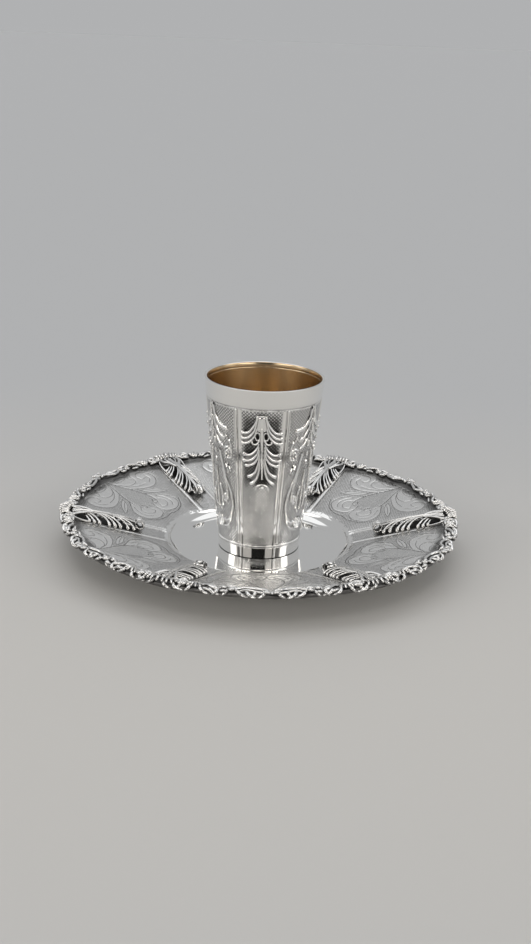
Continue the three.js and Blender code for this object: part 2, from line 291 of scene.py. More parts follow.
@dataclass(frozen=True)
class Silver:
    """Sterling silver: polished or satin, darkened in its hollows by patina and painted shade, hatched where
    it is chased.

    Pitches are millimetres of the mesh's pattern, depths are metres, scales are changes in a metre.
    """

    name: str
    bright: Colour = shade(0.93, 0.925, 0.91)
    oxide_and_shade: Colour = shade(0.035, 0.033, 0.031)
    polish: float = 0.05
    satin: float = 0.17
    matt: float = 0.34
    cloud_scale: float = 55.0
    cloud_matt: float = 0.03
    scuff_scale: float = 900.0
    scuff_matt: float = 0.1
    scuff_depth: float = 0.000004
    shade_and_oxide_share: float = 0.82
    shade_and_oxide_cloud: float = 0.3
    hatch_pitch: float = 1.2
    hatch_start: float = 0.45
    hatch_dark: float = 0.75
    hatch_depth: float = 0.0001
    hatch_matt: float = 0.02
    hatch_tilt: float = 1.5
    hatch_worn: float = 0.14
    level_pitch: float = 0.8
    level_bow: float = 0.055

    def hatching(self, s: Shading, hatch: Wire) -> tuple[Wire, Wire, Wire]:
        """The hand-cut ground: crossed cuts, or level ones where the third part of the pattern is 1.

        Args:
            s: the material's tree.
            hatch: share of hatching, from 0 to 1.

        Returns:
            Depth of the cuts, slope of the small facets between them, and dirt on each facet.
        """
        across, along, kind = s.axes(s.attribute("pattern").outputs["Vector"])
        cells = math.sqrt(0.5) / self.hatch_pitch
        rising, falling = ((across + along * sign) * cells for sign in (1, -1))
        cell = s.node("ShaderNodeCombineXYZ", inputs={0: rising.whole(), 1: falling.whole(), 2: 0.5})
        chance = s.node("ShaderNodeTexWhiteNoise", inputs={"Vector": cell.outputs[0]})
        tilt_a, tilt_b, dirt = s.axes(chance.outputs["Color"])
        off_a, off_b = rising.part() - 0.5, falling.part() - 0.5
        crossed = (off_a.size().most(off_b.size()) * 2).step(self.hatch_start, 1.0)
        facet = ((tilt_a - 0.5) * off_a + (tilt_b - 0.5) * off_b) * self.hatch_tilt
        wave = along * (2 * math.pi / self.level_pitch) + across * across * self.level_bow
        level = wave.sine().step(0.3, 1.0)
        cut = (crossed * (1 - kind) + level * kind) * hatch
        return cut, facet * (1 - crossed) * (1 - kind) * hatch, dirt * hatch * self.hatch_worn

    def material(self) -> bpy.types.Material:
        """Makes the material.

        Returns:
            The material, which reads the mesh attributes of dark patina with painted shade, satin, hatch and
            pattern.
        """
        made, s, place = new_material(self.name)
        oxide_and_shade, satin, hatch = (s.value(name).clamped() for name in ("oxide_and_shade", "satin", "hatch"))
        cut, facet, dirt = self.hatching(s, hatch)
        cloud = s.noise(place, self.cloud_scale)
        scuff = s.noise(place, self.scuff_scale, 3.0)
        # Painted shade and patina: the stored darkness pulls the silver towards its dark colour and makes it
        # more matt.
        left = (oxide_and_shade * (self.shade_and_oxide_share + self.shade_and_oxide_cloud * cloud)).clamped()
        dark = (left + cut * self.hatch_dark + dirt).clamped()
        rough = self.polish + self.cloud_matt * cloud + satin * (self.satin + self.scuff_matt * scuff)
        rough = rough + hatch * self.hatch_matt + left * self.matt
        relief = scuff * (satin + 0.1) * (self.scuff_depth / self.hatch_depth) + facet - cut
        s.surface(
            {
                "Base Color": s.blend(dark, self.bright, self.oxide_and_shade),
                "Metallic": 1.0,
                "Roughness": rough.clamped(),
                "Normal": s.bump(relief, self.hatch_depth),
            }
        )
        return made


@dataclass(frozen=True)
class Gilt:
    """Fire gilding inside the cup, with faint turning lines."""

    name: str = "gilding"
    colour: Colour = shade(0.625, 0.49, 0.325)
    worn: Colour = shade(0.56, 0.43, 0.27)
    polish: float = 0.16
    cloud_matt: float = 0.12
    turning: float = 9000.0
    drift: float = 6.0
    depth: float = 0.000006

    def material(self) -> bpy.types.Material:
        """Makes the material.

        Returns:
            The material.
        """
        made, s, place = new_material(self.name)
        lines = s.axes(place)[2] * self.turning + s.noise(place, 80.0) * self.drift
        cloud = s.noise(place, 60.0, 4.0)
        s.surface(
            {
                "Base Color": s.blend(cloud, self.colour, self.worn),
                "Metallic": 1.0,
                "Roughness": self.polish + self.cloud_matt * cloud,
                "Normal": s.bump(lines.sine() * 0.5 + 0.5, self.depth),
            }
        )
        return made


@dataclass(frozen=True)
class Paper:
    """The pale sheet that the cup is shown on, with painted light: brightest along a line just before it,
    duller farther off. Metres.
    """

    name: str = "backdrop_paper"
    near: Colour = shade(0.615, 0.607, 0.588)
    far: Colour = shade(0.5175, 0.529, 0.543)
    roughness: float = 0.7
    gloss: float = 0.2
    painted_light_line: float = -0.16
    fade: tuple[float, float] = (0.05, 0.55)
    uneven: float = 0.06

    def material(self) -> bpy.types.Material:
        """Makes the material.

        Returns:
            The material.
        """
        made, s, place = new_material(self.name)
        # Painted light: the sheet's colour fades from near to far with distance from that line.
        away = (s.axes(place)[1] - self.painted_light_line).size() + s.noise(place, 3.0) * self.uneven
        s.surface(
            {
                "Base Color": s.blend(away.step(*self.fade), self.near, self.far),
                "Roughness": self.roughness,
                "Specular IOR Level": self.gloss,
            }
        )
        return made


# ---------------------------------------------------------------- curves and meshes


def smooth_step(value: Array | float, low: float, high: float) -> Array:
    """A smooth step from 0 at low to 1 at high."""
    share = np.clip((np.asarray(value, float) - low) / (high - low), 0, 1)
    return share * share * (3 - 2 * share)


def fade(value: Array | float, low: float, high: float) -> Array:
    """A smooth step from 1 at low to 0 at high."""
    return smooth_step(-np.asarray(value, float), -high, -low)


def bell(value: Array | float, width: float) -> Array:
    """A soft line: 1 at 0, nearly gone at twice the width."""
    return np.exp(-((value / width) ** 2))


def dome(value: Array | float, half: Array | float) -> Array:
    """A round section: 1 in its middle, 0 from half its width on."""
    return np.sqrt(np.clip(1 - (value / half) ** 2, 0, 1))


def tangents(path: Array) -> Array:
    """The direction of a line at each of its points."""
    along = np.gradient(path, axis=0)
    return along / np.maximum(np.linalg.norm(along, axis=1, keepdims=True), 1e-9)


def flowing(route: Route | Array, step: float) -> Array:
    """A smooth curve through the points of a route.

    Args:
        route: points in two or three dimensions.
        step: the distance between the points that come out.

    Returns:
        Points on a Catmull-Rom curve, evenly spaced.
    """
    p = np.asarray(route, float)
    ends = np.vstack([2 * p[0] - p[1], p, 2 * p[-1] - p[-2]])
    t = np.linspace(0, 1, 16, endpoint=False)[:, None]
    spans = []
    for a, b, c, d in zip(ends, ends[1:], ends[2:], ends[3:]):
        bend, twist = 2 * a - 5 * b + 4 * c - d, 3 * b - a - 3 * c + d
        spans.append(0.5 * (2 * b + (c - a) * t + bend * t**2 + twist * t**3))
    return evenly(np.vstack([*spans, p[-1:]]), step)


def evenly(points: Array, step: float) -> Array:
    """The same line with points about a step apart.

    Args:
        points: a polyline.
        step: the wanted distance.

    Returns:
        Points on the line, first and last included.
    """
    lengths = np.r_[0, np.cumsum(np.linalg.norm(np.diff(points, axis=0), axis=1))]
    count = max(3, int(round(lengths[-1] / step)) + 1)
    at = np.linspace(0, lengths[-1], count)
    return np.stack([np.interp(at, lengths, points[:, k]) for k in range(points.shape[1])], 1)


def spiral(start: float, turns: float, outer: float, inner: float) -> Array:
    """A flat spiral about the origin, from its outer end to its eye.

    Args:
        start: direction of its outer end, in degrees.
        turns: turns to the eye, negative if clockwise.
        outer: radius of the outer end.
        inner: radius at the eye.

    Returns:
        Its points.
    """
    share = np.linspace(0, 1, max(10, int(28 * abs(turns))))
    angle = math.radians(start) + 2 * math.pi * turns * share
    radius = outer + (inner - outer) * share**0.8
    return np.stack([radius * np.cos(angle), radius * np.sin(angle)], 1)


def grid_faces(rows: int, columns: int, closed: bool = False) -> Array:
    """The quads of a grid of points, row by row.

    Args:
        rows: rows of points.
        columns: points in a row.
        closed: whether the last column joins the first.

    Returns:
        One line of four point numbers for each quad.
    """
    spans = columns if closed else columns - 1
    i, j = np.meshgrid(np.arange(rows - 1), np.arange(spans), indexing="ij")
    here, right = i * columns + j, i * columns + (j + 1) % columns
    return np.stack([here, right, right + columns, here + columns], -1).reshape(-1, 4)


@dataclass
class Shell:
    """A mesh in the making: points in millimetres, and what the silver reads from it."""

    points: list[Array] = field(default_factory=list)
    faces: list[list[int]] = field(default_factory=list)
    finishes: list[int] = field(default_factory=list)
    hatches: list[float] = field(default_factory=list)
    oxide_and_shade_values: list[Array] = field(default_factory=list)
    satins: list[Array] = field(default_factory=list)
    patterns: list[Array] = field(default_factory=list)
    count: int = 0

    def add(
        self,
        points: Array,
        faces: Array,
        oxide_and_shade: Array | float = 0.0,
        hatch: Array | float = 0.0,
        pattern: Array | None = None,
        finish: Array | int = 0,
        satin: Array | float = 0.0,
    ) -> None:
        """Adds a patch.

        Args:
            points: its points.
            faces: its faces as numbers of those points.
            oxide_and_shade: darkness of each point, from 0 to 1: patina and painted shade.
            hatch: share of hatching of each face.
            pattern: for each point, its place across and along the hatching, and its kind of hatching.
            finish: number of the material of each face.
            satin: how matt each point is, from 0 to 1.
        """
        total = len(points)
        self.points.append(np.asarray(points, float))
        self.faces.extend((np.asarray(faces) + self.count).tolist())
        self.finishes.extend(np.broadcast_to(finish, len(faces)).tolist())
        self.hatches.extend(np.broadcast_to(hatch, len(faces)).tolist())
        self.oxide_and_shade_values.append(np.broadcast_to(np.asarray(oxide_and_shade, float), total))
        self.satins.append(np.broadcast_to(np.asarray(satin, float), total))
        self.patterns.append(np.zeros((total, 3)) if pattern is None else pattern)
        self.count += total

    def sweep(
        self,
        path: Array,
        up: Array,
        half_width: Array | float,
        half_height: Array | float,
        hollow: float,
        sides: int = 8,
    ) -> None:
        """Adds a closed rod of oval section along a path.

        Args:
            path: its centre line.
            up: direction of the section's height, one for all or one for each point.
            half_width: half the section's width along the path.
            half_height: half its height.
            hollow: painted shade and patina at its foot; its crest is left bright.
            sides: sides of the section.
        """
        n = len(path)
        tangent = tangents(path)
        side = np.cross(np.broadcast_to(up, path.shape), tangent)
        side /= np.maximum(np.linalg.norm(side, axis=1, keepdims=True), 1e-9)
        crest = np.cross(tangent, side)
        angle = np.linspace(0, 2 * math.pi, sides, endpoint=False)
        wide = np.broadcast_to(half_width, n)[:, None, None]
        high = np.broadcast_to(half_height, n)[:, None, None]
        cosine, sine = np.cos(angle)[None, :, None], np.sin(angle)[None, :, None]
        ring = wide * side[:, None] * cosine + high * crest[:, None] * sine
        first = path[0] - tangent[0] * 0.5 * float(wide[0, 0, 0])
        last = path[-1] + tangent[-1] * 0.5 * float(wide[-1, 0, 0])
        # Painted shade and patina: the section darkens towards its foot and stays bright at its crest.
        tone = np.tile(hollow * (0.5 - 0.5 * np.sin(angle)), n)
        start = self.count
        points = np.vstack([(path[:, None] + ring).reshape(-1, 3), first, last])
        self.add(points, grid_faces(n, sides, closed=True), np.r_[tone, 0.0, 0.0])
        here = np.arange(sides)
        after, end = (here + 1) % sides, (n - 1) * sides
        caps = [(n * sides, b, a) for a, b in zip(here, after)]
        caps += [(n * sides + 1, a, b) for a, b in zip(end + here, end + after)]
        self.faces.extend([start + p for p in cap] for cap in caps)
        self.finishes.extend([0] * len(caps))
        self.hatches.extend([0.0] * len(caps))

    def bead(self, centre: Array, radius: float, up: Array) -> None:
        """Adds a small bead, a little flatter than round, darker at its foot with painted shade and patina.

        Args:
            centre: its middle.
            radius: its radius.
            up: direction of its crest.
        """
        flat, hollow = 0.8, 0.5
        up = np.asarray(up, float) / np.linalg.norm(up)
        t = np.linspace(-0.98, 0.98, 7)
        path = centre + np.outer(t * radius * flat, up)
        sideways = np.cross(up, [0.31, 0.2, 0.93])
        across = np.sqrt(1 - t**2) * radius
        self.sweep(path, sideways, across, across, 0.0)
        height = (self.points[-1] - centre) @ up / radius
        # Painted shade and patina towards the bead's foot.
        self.oxide_and_shade_values[-1] = hollow - hollow * smooth_step(height, -0.6, 0.6)

    def build(
        self, name: str, materials: Sequence[bpy.types.Material], crease: float, weld: float = 0.0
    ) -> bpy.types.Object:
        """Writes the mesh and links its object.

        Args:
            name: name of the piece.
            materials: its materials.
            crease: edges sharper than this many degrees stay sharp.
            weld: points closer than this are joined.

        Returns:
            The object.
        """
        mesh = bpy.data.meshes.new(name)
        mesh.from_pydata((np.vstack(self.points) * MM).tolist(), [], self.faces)
        for material in materials:
            mesh.materials.append(material)
        mesh.polygons.foreach_set("material_index", self.finishes)
        mesh.polygons.foreach_set("use_smooth", [True] * len(self.faces))
        for label, values in (("oxide_and_shade", self.oxide_and_shade_values), ("satin", self.satins)):
            stored = mesh.attributes.new(label, "FLOAT", "POINT")
            stored.data.foreach_set("value", np.concatenate(values))
        mesh.attributes.new("hatch", "FLOAT", "FACE").data.foreach_set("value", self.hatches)
        pattern = mesh.attributes.new("pattern", "FLOAT_VECTOR", "POINT")
        pattern.data.foreach_set("vector", np.vstack(self.patterns).ravel())
        if weld:
            work = bmesh.new()
            work.from_mesh(mesh)
            bmesh.ops.remove_doubles(work, verts=work.verts, dist=weld * MM)
            work.to_mesh(mesh)
            work.free()
        mesh.set_sharp_from_angle(angle=math.radians(crease))
        mesh.update()
        made = bpy.data.objects.new(name, mesh)
        bpy.context.scene.collection.objects.link(made)
        return made


def dress(piece: bpy.types.Object, slot: Slot, *nodes: str) -> None:
    """Places a piece in the frame: it rides on the one body and stands for its CAD nodes.

    Args:
        piece: the finished piece.
        slot: the record's material slot; not used.
        nodes: the CAD nodes that it replaces.
    """
    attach(piece, BODY)
    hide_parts(*nodes)
    log.info("%s: %d faces, for %s", piece.name, len(piece.data.polygons), ", ".join(nodes))


def box_mm(node: str) -> tuple[Array, Array]:
    """A CAD node's lowest and highest corners in millimetres."""
    low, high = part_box(node)
    return np.array(low) / MM, np.array(high) / MM


# ---------------------------------------------------------------- cup


@dataclass(frozen=True)
class Chasing:
    """A rounded form raised in the cup's wall, along a route of [degrees from the panel's middle, height].

    It swells from start to end, as shares of its half width.
    """

    route: Route | Array
    half_width: float
    height: float
    start: float = 0.5
    end: float = 1.0

    def widths(self, count: int) -> Array:
        """Works out how wide it is along its route, rounded off at both ends.

        Args:
            count: points on the route.

        Returns:
            Half its width at each point.
        """
        share = np.linspace(0, 1, count)
        swell = self.start + (self.end - self.start) * share
        tips = np.minimum(share, 1 - share) * count * 0.35
        return self.half_width * swell * np.sqrt(np.clip(tips, 0.06, 1))


@dataclass
class Beaker:
    """The hollow cup: plain lip and foot bands, six chased panels between ribs, gilt bore."""

    turn: float = -1.0
    foot_radius: float = 20.7
    wall: float = 1.35
    floor: float = 1.4
    foot_ring: float = 2.2
    foot_recess: float = 0.6
    foot_band: float = 5.8
    lip_band: float = 9.4
    ground: float = -0.4
    rib_half: float = 0.55
    rib_height: float = 0.75
    leaf_half: float = 26.6
    field_half: float = 20.4
    line_half: float = 0.24
    floor_round: float = 3.0
    hatch_radius: float = 27.0
    rows_apart: float = 0.46

    def __post_init__(self) -> None:
        """Takes the outer sizes from the frame."""
        low, high = box_mm("cup_body")
        self.base, self.top = float(low[2]), float(high[2])
        self.lip_radius = float(high[0])
        self.panel_low = self.base + self.foot_band
        self.panel_high = self.top - self.lip_band

    def radius(self, height: Array | float) -> Array:
        """Radius of the plain cone at a height."""
        share = (np.asarray(height, float) - self.base) / (self.top - self.base)
        return self.foot_radius + (self.lip_radius - self.foot_radius) * share

    def on_wall(self, degrees: Array, height: Array, out: Array) -> Array:
        """Points on the wall.

        Args:
            degrees: angle from the front, to the right.
            height: height above the saucer's underside.
            out: distance out from the plain cone.

        Returns:
            The points.
        """
        angle = np.radians(np.asarray(degrees) + self.turn)
        reach = self.radius(height) + out
        return np.stack([reach * np.sin(angle), -reach * np.cos(angle), height + 0 * angle], -1)

    def scrolls(self) -> list[Chasing]:
        """Lists the raised forms of a scroll panel's right half.

        Returns:
            The forms, from the top fronds down to the U at its foot.
        """
        ring = spiral(140, -1.35, 6.6, 2.0) * [1, 0.56] + [21.6, 56.328]
        horn = spiral(60, 1.2, 4.2, 1.2) * [1, 0.5] + [14.2, 31.45]
        return [
            Chasing([(1.6, 80.6), (4.4, 75.4), (9.4, 71.4), (16, 69.6), (22.6, 69)], 1.35, 0.85, 0.5, 1.15),
            Chasing([(1.4, 74), (5, 68.6), (10.5, 65.2), (17.2, 63.6)], 1.2, 0.75, 0.5, 1.1),
            Chasing([(1.2, 68), (4.6, 63.6), (9.5, 60.6), (15, 59.6)], 1.0, 0.7, 0.5, 1.1),
            Chasing([(19, 66.4), (23.8, 63.8), (26.4, 60), (26.6, 56)], 0.75, 0.6, 0.6, 0.6),
            Chasing(ring, 0.8, 0.8, 1.0, 0.7),
            Chasing([(22.6, 55.4), (22.9, 54.8)], 1.25, 0.95, 1.0, 1.0),
            Chasing([(8.6, 57.4), (11, 52.6), (15.6, 44.6), (21.4, 38.6), (25.2, 33), (25.4, 27.4),
                     (20, 21.4), (13.6, 19.4), (6, 19.6)], 0.85, 0.75, 0.8, 0.7),
            Chasing([(12.6, 47), (16.4, 40.4), (18.4, 34.6), (17, 30.6)], 0.9, 0.7, 0.5, 0.9),
            Chasing(horn, 0.7, 0.7, 1.0, 0.7),
            Chasing([(16.8, 51.4), (19.6, 48.6), (22.4, 46)], 0.65, 0.55, 0.5, 1.1),
            Chasing([(19.6, 51.6), (22.6, 49), (24.8, 46.4)], 0.6, 0.55, 0.5, 1.1),
            Chasing([(23.8, 23.4), (18.4, 18.2), (12.4, 16.2), (6, 16)], 0.6, 0.5, 0.8, 0.8),
            Chasing([(0, 62.5), (0, 59.4)], 1.3, 0.75, 1.0, 0.7),
            Chasing([(0, 57), (0, 54.2)], 1.05, 0.65, 1.0, 0.7),
            Chasing([(0, 52), (0, 49.6)], 0.85, 0.6, 1.0, 0.7),
            Chasing([(0, 47.4), (0, 26)], 0.7, 0.6, 0.6, 1.0),
            Chasing([(4.6, 24.6), (8.4, 28.2), (8.2, 33.6), (5.2, 38)], 0.8, 0.6, 0.5, 1.0),
            Chasing([(0, 15.4), (0, 21.2)], 1.0, 0.7, 0.5, 1.2),
            Chasing([(1.4, 15.2), (4.2, 20.6)], 0.9, 0.65, 0.5, 1.2),
            Chasing([(2.6, 14.8), (8, 18.8)], 0.8, 0.6, 0.5, 1.2),
        ]

    def half_columns(self, scrolled: bool) -> Array:
        """Places the columns of half a panel, close together where there is relief.

        Args:
            scrolled: whether it is a scroll panel.

        Returns:
            Degrees from the panel's middle.
        """
        limit = self.limit(scrolled)
        inner = np.arange(0, limit - 3.2, 0.5) if scrolled else np.r_[0:19:1.5, 19.8:21.2:0.35, 22.2]
        return np.r_[inner, np.linspace(limit - 3.0, limit, 9)]

    def limit(self, scrolled: bool) -> float:
        """Degrees from a panel's middle to its rib."""
        return PANEL - self.leaf_half if scrolled else self.leaf_half

    def raised_forms(self, spot: Array) -> tuple[Array, Array]:
        """The raised scrolls on half a panel.

        Args:
            spot: points of the unrolled wall, [across, height].

        Returns:
            For each point, how far the scrolls rise and the strength of the dark line round them.
        """
        raised, line = np.zeros(len(spot)), np.zeros(len(spot))
        for form in self.scrolls():
            route = np.asarray(form.route, float)
            route = route * np.stack([np.radians(self.radius(route[:, 1])), np.ones(len(route))], 1)
            path = flowing(route, 0.25)
            gap = np.linalg.norm(spot[:, None] - path[None], axis=2)
            near = gap.argmin(1)
            gap = gap[np.arange(len(spot)), near]
            half = form.widths(len(path))[near]
            raised = np.maximum(raised, form.height * dome(gap, half))
            line = np.maximum(line, bell(gap - half - 0.1, self.line_half))
        return raised, line * (raised < 0.25)

    def half_panel(self, columns: Array, rows: Array, scrolled: bool) -> tuple[Array, Array, Array]:
        """Relief of half a panel.

        Args:
            columns: degrees from the panel's middle.
            rows: heights.
            scrolled: whether it is a scroll panel; the others carry a cast leaf.

        Returns:
            For each row and column, how far the wall stands out of the cone, its oxide and its hatching.
        """
        degrees, height = np.meshgrid(columns, rows)
        per_degree = np.radians(self.radius(height))
        low, high = self.panel_low, self.panel_high
        out = self.ground * smooth_step(height, low, low + 0.5) * fade(height, high - 0.5, high)
        raised, line = np.zeros_like(out), np.zeros_like(out)
        if scrolled:
            spot = np.stack([degrees * per_degree, height], -1).reshape(-1, 2)
            raised, line = (part.reshape(out.shape) for part in self.raised_forms(spot))
        out += raised - 0.14 * line
        rib_gap = (self.limit(scrolled) - degrees) * per_degree
        run = smooth_step(height, low + 1.6, low + 2.4) * fade(height, high - 1.2, high - 0.6)
        rib_line = bell(rib_gap - self.rib_half - 0.2, self.line_half) * run
        out += self.rib_height * dome(rib_gap, self.rib_half) * run - 0.12 * rib_line
        oxide_and_shade = np.maximum(0.85 * line, (0.85 if scrolled else 0.4) * rib_line)
        within = (height > low + 0.7) & (height < high - 0.7)
        if scrolled:
            matted = (raised < 0.05) & (line < 0.6) & within & (rib_gap > 1.3)
        else:
            strip = smooth_step(degrees, self.field_half, self.field_half + 0.7)
            out += 0.16 * strip * fade(degrees, 23.8, 24.6)
            oxide_and_shade = np.maximum(oxide_and_shade, 0.4 * bell(degrees - self.field_half, 0.4) * within)
            matted = within & (degrees < self.field_half)
        edges = np.minimum(abs(height - low), abs(height - high))
        oxide_and_shade = np.maximum(oxide_and_shade, 0.7 * bell(edges, 0.3))
        return out, oxide_and_shade, matted.astype(float)

    def leaf_shadow(self, degrees: Array, height: Array) -> Array:
        """Works out the painted shade under a cast leaf, its three tiers and its two eyes, with the patina
        left where no cloth reaches.

        Args:
            degrees: angle of each point from the panel's middle.
            height: height of each point.

        Returns:
            Its darkness at each point.
        """
        across = abs(degrees) * np.radians(self.radius(height))
        dark = 0.62 * smooth_step(height, 38, 46) * fade(height, 74, 80) * fade(abs(degrees), 15, 20.4)
        for reach, middle, half in [(9.6, 66.5, 5.2), (9.4, 56.2, 5.4), (7.0, 46.6, 4.6)]:
            near = fade(abs(height - middle), half - 2, half + 2)
            dark = np.maximum(dark, 0.85 * near * fade(across, reach * 0.45, reach + 0.6))
        eye = ((across - 2.0) / 1.1) ** 2 + ((height - 67.8) / 2.1) ** 2
        return np.maximum(dark, np.where(eye < 1.2, 1.0, 0.0))

    def wall_rows(self) -> Array:
        """Places the outer wall's rows, close together where it is chased.

        Returns:
            Their heights.
        """
        low, high, top = self.panel_low, self.panel_high, self.top
        chased = np.linspace(low - 0.25, high + 0.25, int((high - low) / self.rows_apart))
        foot = [self.base, self.base + 0.25, self.base + 2, self.base + 4, low - 0.5]
        return np.r_[foot, chased, high + 0.5, high + 3, top - 3, top - 1.2, top - 0.5, top - 0.15]

    def bore(self) -> list[tuple[float, float]]:
        """Draws the lip, the bore with one turned line, and its round foot.

        Returns:
            The profile, as [out from the cone, height].
        """
        inner, top, floor = -self.wall, self.top, self.base + self.floor
        line, deep = 2.65, 0.09
        lip = [(-0.12, top - 0.04), (-0.35, top), (inner * 0.7, top), (inner + 0.15, top - 0.2)]
        drops = (0.6, 2.2, 2.5, line, 2.8, 3.1, 8, 20, 40, 60, 75)
        sides = [(inner + deep * (drop == line), top - drop) for drop in drops]
        turns = [(1 - math.cos(a), 1 - math.sin(a)) for a in np.linspace(0.2, 1.57, 5)]
        return lip + sides + [(inner - self.floor_round * x, floor + self.floor_round * z) for x, z in turns]

    def ring(self, degrees: Array, out: Array | float, height: float) -> Array:
        """A ring of points at a distance out from the plain cone."""
        return self.on_wall(degrees, np.full(len(degrees), height), out)

    def disc(self, degrees: Array, reach: float, height: float) -> Array:
        """A ring of points at a distance from the axis."""
        return self.ring(degrees, reach - self.radius(height), height)

    def build(self, silver: bpy.types.Material, gilt: bpy.types.Material) -> bpy.types.Object:
        """Builds the cup as one grid of rows: underside, outer wall, lip, bore and floor.

        Args:
            silver: the chased silver.
            gilt: the gilding of its inside.

        Returns:
            The piece.
        """
        rows = self.wall_rows()
        columns, parts = [], []
        for k in range(SECTORS):
            scrolled = k % 2 == 1
            half = self.half_columns(scrolled)
            out, oxide_and_shade, matted = self.half_panel(half, rows, scrolled)
            if not scrolled:
                oxide_and_shade = np.maximum(oxide_and_shade, self.leaf_shadow(*np.meshgrid(half, rows)))
            columns.append(PANEL * k + np.r_[-half[::-1], half[1:-1]])
            parts.append([np.hstack([part[:, ::-1], part[:, 1:-1]]) for part in (out, oxide_and_shade, matted)])
        degrees = np.concatenate(columns)
        out, oxide_and_shade, matted = (np.hstack(part) for part in zip(*parts))
        around, height = np.meshgrid(degrees, rows)
        recess, rim = self.base + self.foot_recess, self.foot_radius - self.foot_ring
        foot = [(0, recess), (rim, recess), (rim + 0.2, self.base), (self.foot_radius - 0.2, self.base)]
        under = [self.disc(degrees, reach, z) for reach, z in foot]
        over = [self.ring(degrees, off, z) for off, z in self.bore()]
        over += [self.disc(degrees, reach, self.base + self.floor) for reach in (9, 0)]
        grid = np.vstack([np.array(under), self.on_wall(around, height, out), np.array(over)])
        first, last = len(under), len(under) + len(rows)

        def on_grid(part: Array) -> Array:
            """Spreads values of the outer wall over the whole grid.

            Args:
                part: a value for each row and column of the wall.

            Returns:
                The values, with zeros for the underside and the inside.
            """
            whole = np.zeros(grid.shape[:2])
            whole[first:last] = part
            return whole.ravel()

        faces = grid_faces(len(grid), len(degrees), closed=True)
        gilded = (faces[:, 0] // len(degrees) >= last + 3).astype(int)
        pattern = np.zeros_like(grid)
        pattern[first:last, :, 0] = np.radians(around) * self.hatch_radius
        pattern[:, :, 1] = grid[:, :, 2]
        hatch = on_grid(matted)[faces].min(1)
        shell = Shell()
        shell.add(grid.reshape(-1, 3), faces, on_grid(oxide_and_shade), hatch, pattern.reshape(-1, 3), gilded)
        piece = shell.build("beaker", [silver, gilt], 38, weld=0.004)
        dress(piece, Slot.CHASED, "cup_body")
        return piece


# ---------------------------------------------------------------- cast leaves


@dataclass(frozen=True)
class Frond:
    """One rod-like finger of a cast leaf: its route of [across, along, up] and half its thickness."""

    route: Sequence[Place]
    half: float = 0.78
    bulb: float = 1.08

    def line(self, side: int) -> Array:
        """Its centre line on the right side of the spine (1) or the left (-1)."""
        return flowing(np.asarray(self.route, float) * [side, 1, 1], 0.45)

    def widths(self, count: int) -> Array:
        """Works out its thickness: slim at the spine, a round bulb just before the tip.

        Args:
            count: points on its line.

        Returns:
            Half its thickness at each point.
        """
        share = np.linspace(0, 1, count)
        swell = self.half * (0.6 + 0.4 * share)
        swell = swell + (self.bulb - self.half) * bell(share - 0.93, 0.09)
        swell[-1] *= 0.75
        return swell


@dataclass
class Casting:
    """A cast leaf being modelled on its seat, which turns [across, along, up] into a place."""

    seat: Seat
    shell: Shell = field(default_factory=Shell)
    # Painted shade and patina at the foot of each rod.
    hollow: float = 0.75

    def place(self, flat: Array) -> tuple[Array, Array]:
        """Points on the leaf and the direction that is up there.

        Args:
            flat: across, along and up of each point.

        Returns:
            The points and their directions.
        """
        here = self.seat(flat[:, 0], flat[:, 1], flat[:, 2])
        away = self.seat(flat[:, 0], flat[:, 1], flat[:, 2] + 0.5) - here
        return here, away / np.linalg.norm(away, axis=1, keepdims=True)

    def rod(self, flat: Array, half: Array | float, flatness: float = 1.0) -> None:
        """Adds a rod along a line.

        Args:
            flat: across, along and up of each point.
            half: half its thickness.
            flatness: its height as a share of its width.
        """
        points, up = self.place(flat)
        self.shell.sweep(points, up, half, np.asarray(half) * flatness, self.hollow)

    def line(
        self, route: Sequence[Place], step: float, half: float, side: int = 1, flatness: float = 1.0
    ) -> None:
        """Adds a rod of even thickness along a smooth route.

        Args:
            route: points of [across, along, up].
            step: distance between the rod's rings.
            half: half its thickness.
            side: 1 as given, -1 mirrored across the spine.
            flatness: its height as a share of its width.
        """
        self.rod(flowing(np.array(route) * [side, 1, 1], step), half, flatness)

    def spray(self, fronds: Sequence[Frond], sink: float = 0.0) -> None:
        """Adds fronds on both sides of the spine.

        Args:
            fronds: the fronds of one side, from the base of the leaf on.
            sink: how far a blade between neighbours, painted dark as shade and patina, lies below them; with
                0 the gaps stay open.
        """
        for side in (1, -1):
            lines = [frond.line(side) for frond in fronds]
            for frond, line in zip(fronds, lines):
                self.rod(line, frond.widths(len(line)))
            for first, second in zip(lines, lines[1:]) if sink else ():
                self.blade(evenly(first, 1.2)[:-1], evenly(second, 1.2)[:-1], side, sink)

    def blade(self, first: Array, second: Array, side: int, sink: float) -> None:
        """Adds the sunk blade between two lines, painted dark as shade and patina.

        Args:
            first: the line nearer the base of the leaf.
            second: the next line.
            side: 1 right of the spine, -1 left of it.
            sink: how far its middle lies below the lines.
        """
        count = min(len(first), len(second))
        first, second = (line[np.linspace(0, len(line) - 1, count).astype(int)] for line in (first, second))
        share = np.linspace(0, 1, 5)[None, :, None]
        flat = first[:, None] * (1 - share) + second[:, None] * share
        flat[..., 2] -= sink * (1 - abs(2 * share[..., 0] - 1) ** 2)
        points, _ = self.place(flat.reshape(-1, 3))
        faces = grid_faces(count, 5)
        # The blade's darkness is painted shade and patina between the fronds.
        self.shell.add(points, faces if side > 0 else faces[:, ::-1], 0.8)

    def knob(self, flat: Place, radius: float) -> None:
        """Adds a bead."""
        points, up = self.place(np.array([flat]))
        self.shell.bead(points[0], radius, up[0])

    def finish(self, node: str, silver: bpy.types.Material) -> bpy.types.Object:
        """Writes the leaf.

        Args:
            node: the CAD node that it stands for.
            silver: the cast silver.

        Returns:
            The piece.
        """
        piece = self.shell.build(f"{node}_casting", [silver], 50)
        dress(piece, Slot.CAST, node)
        return piece


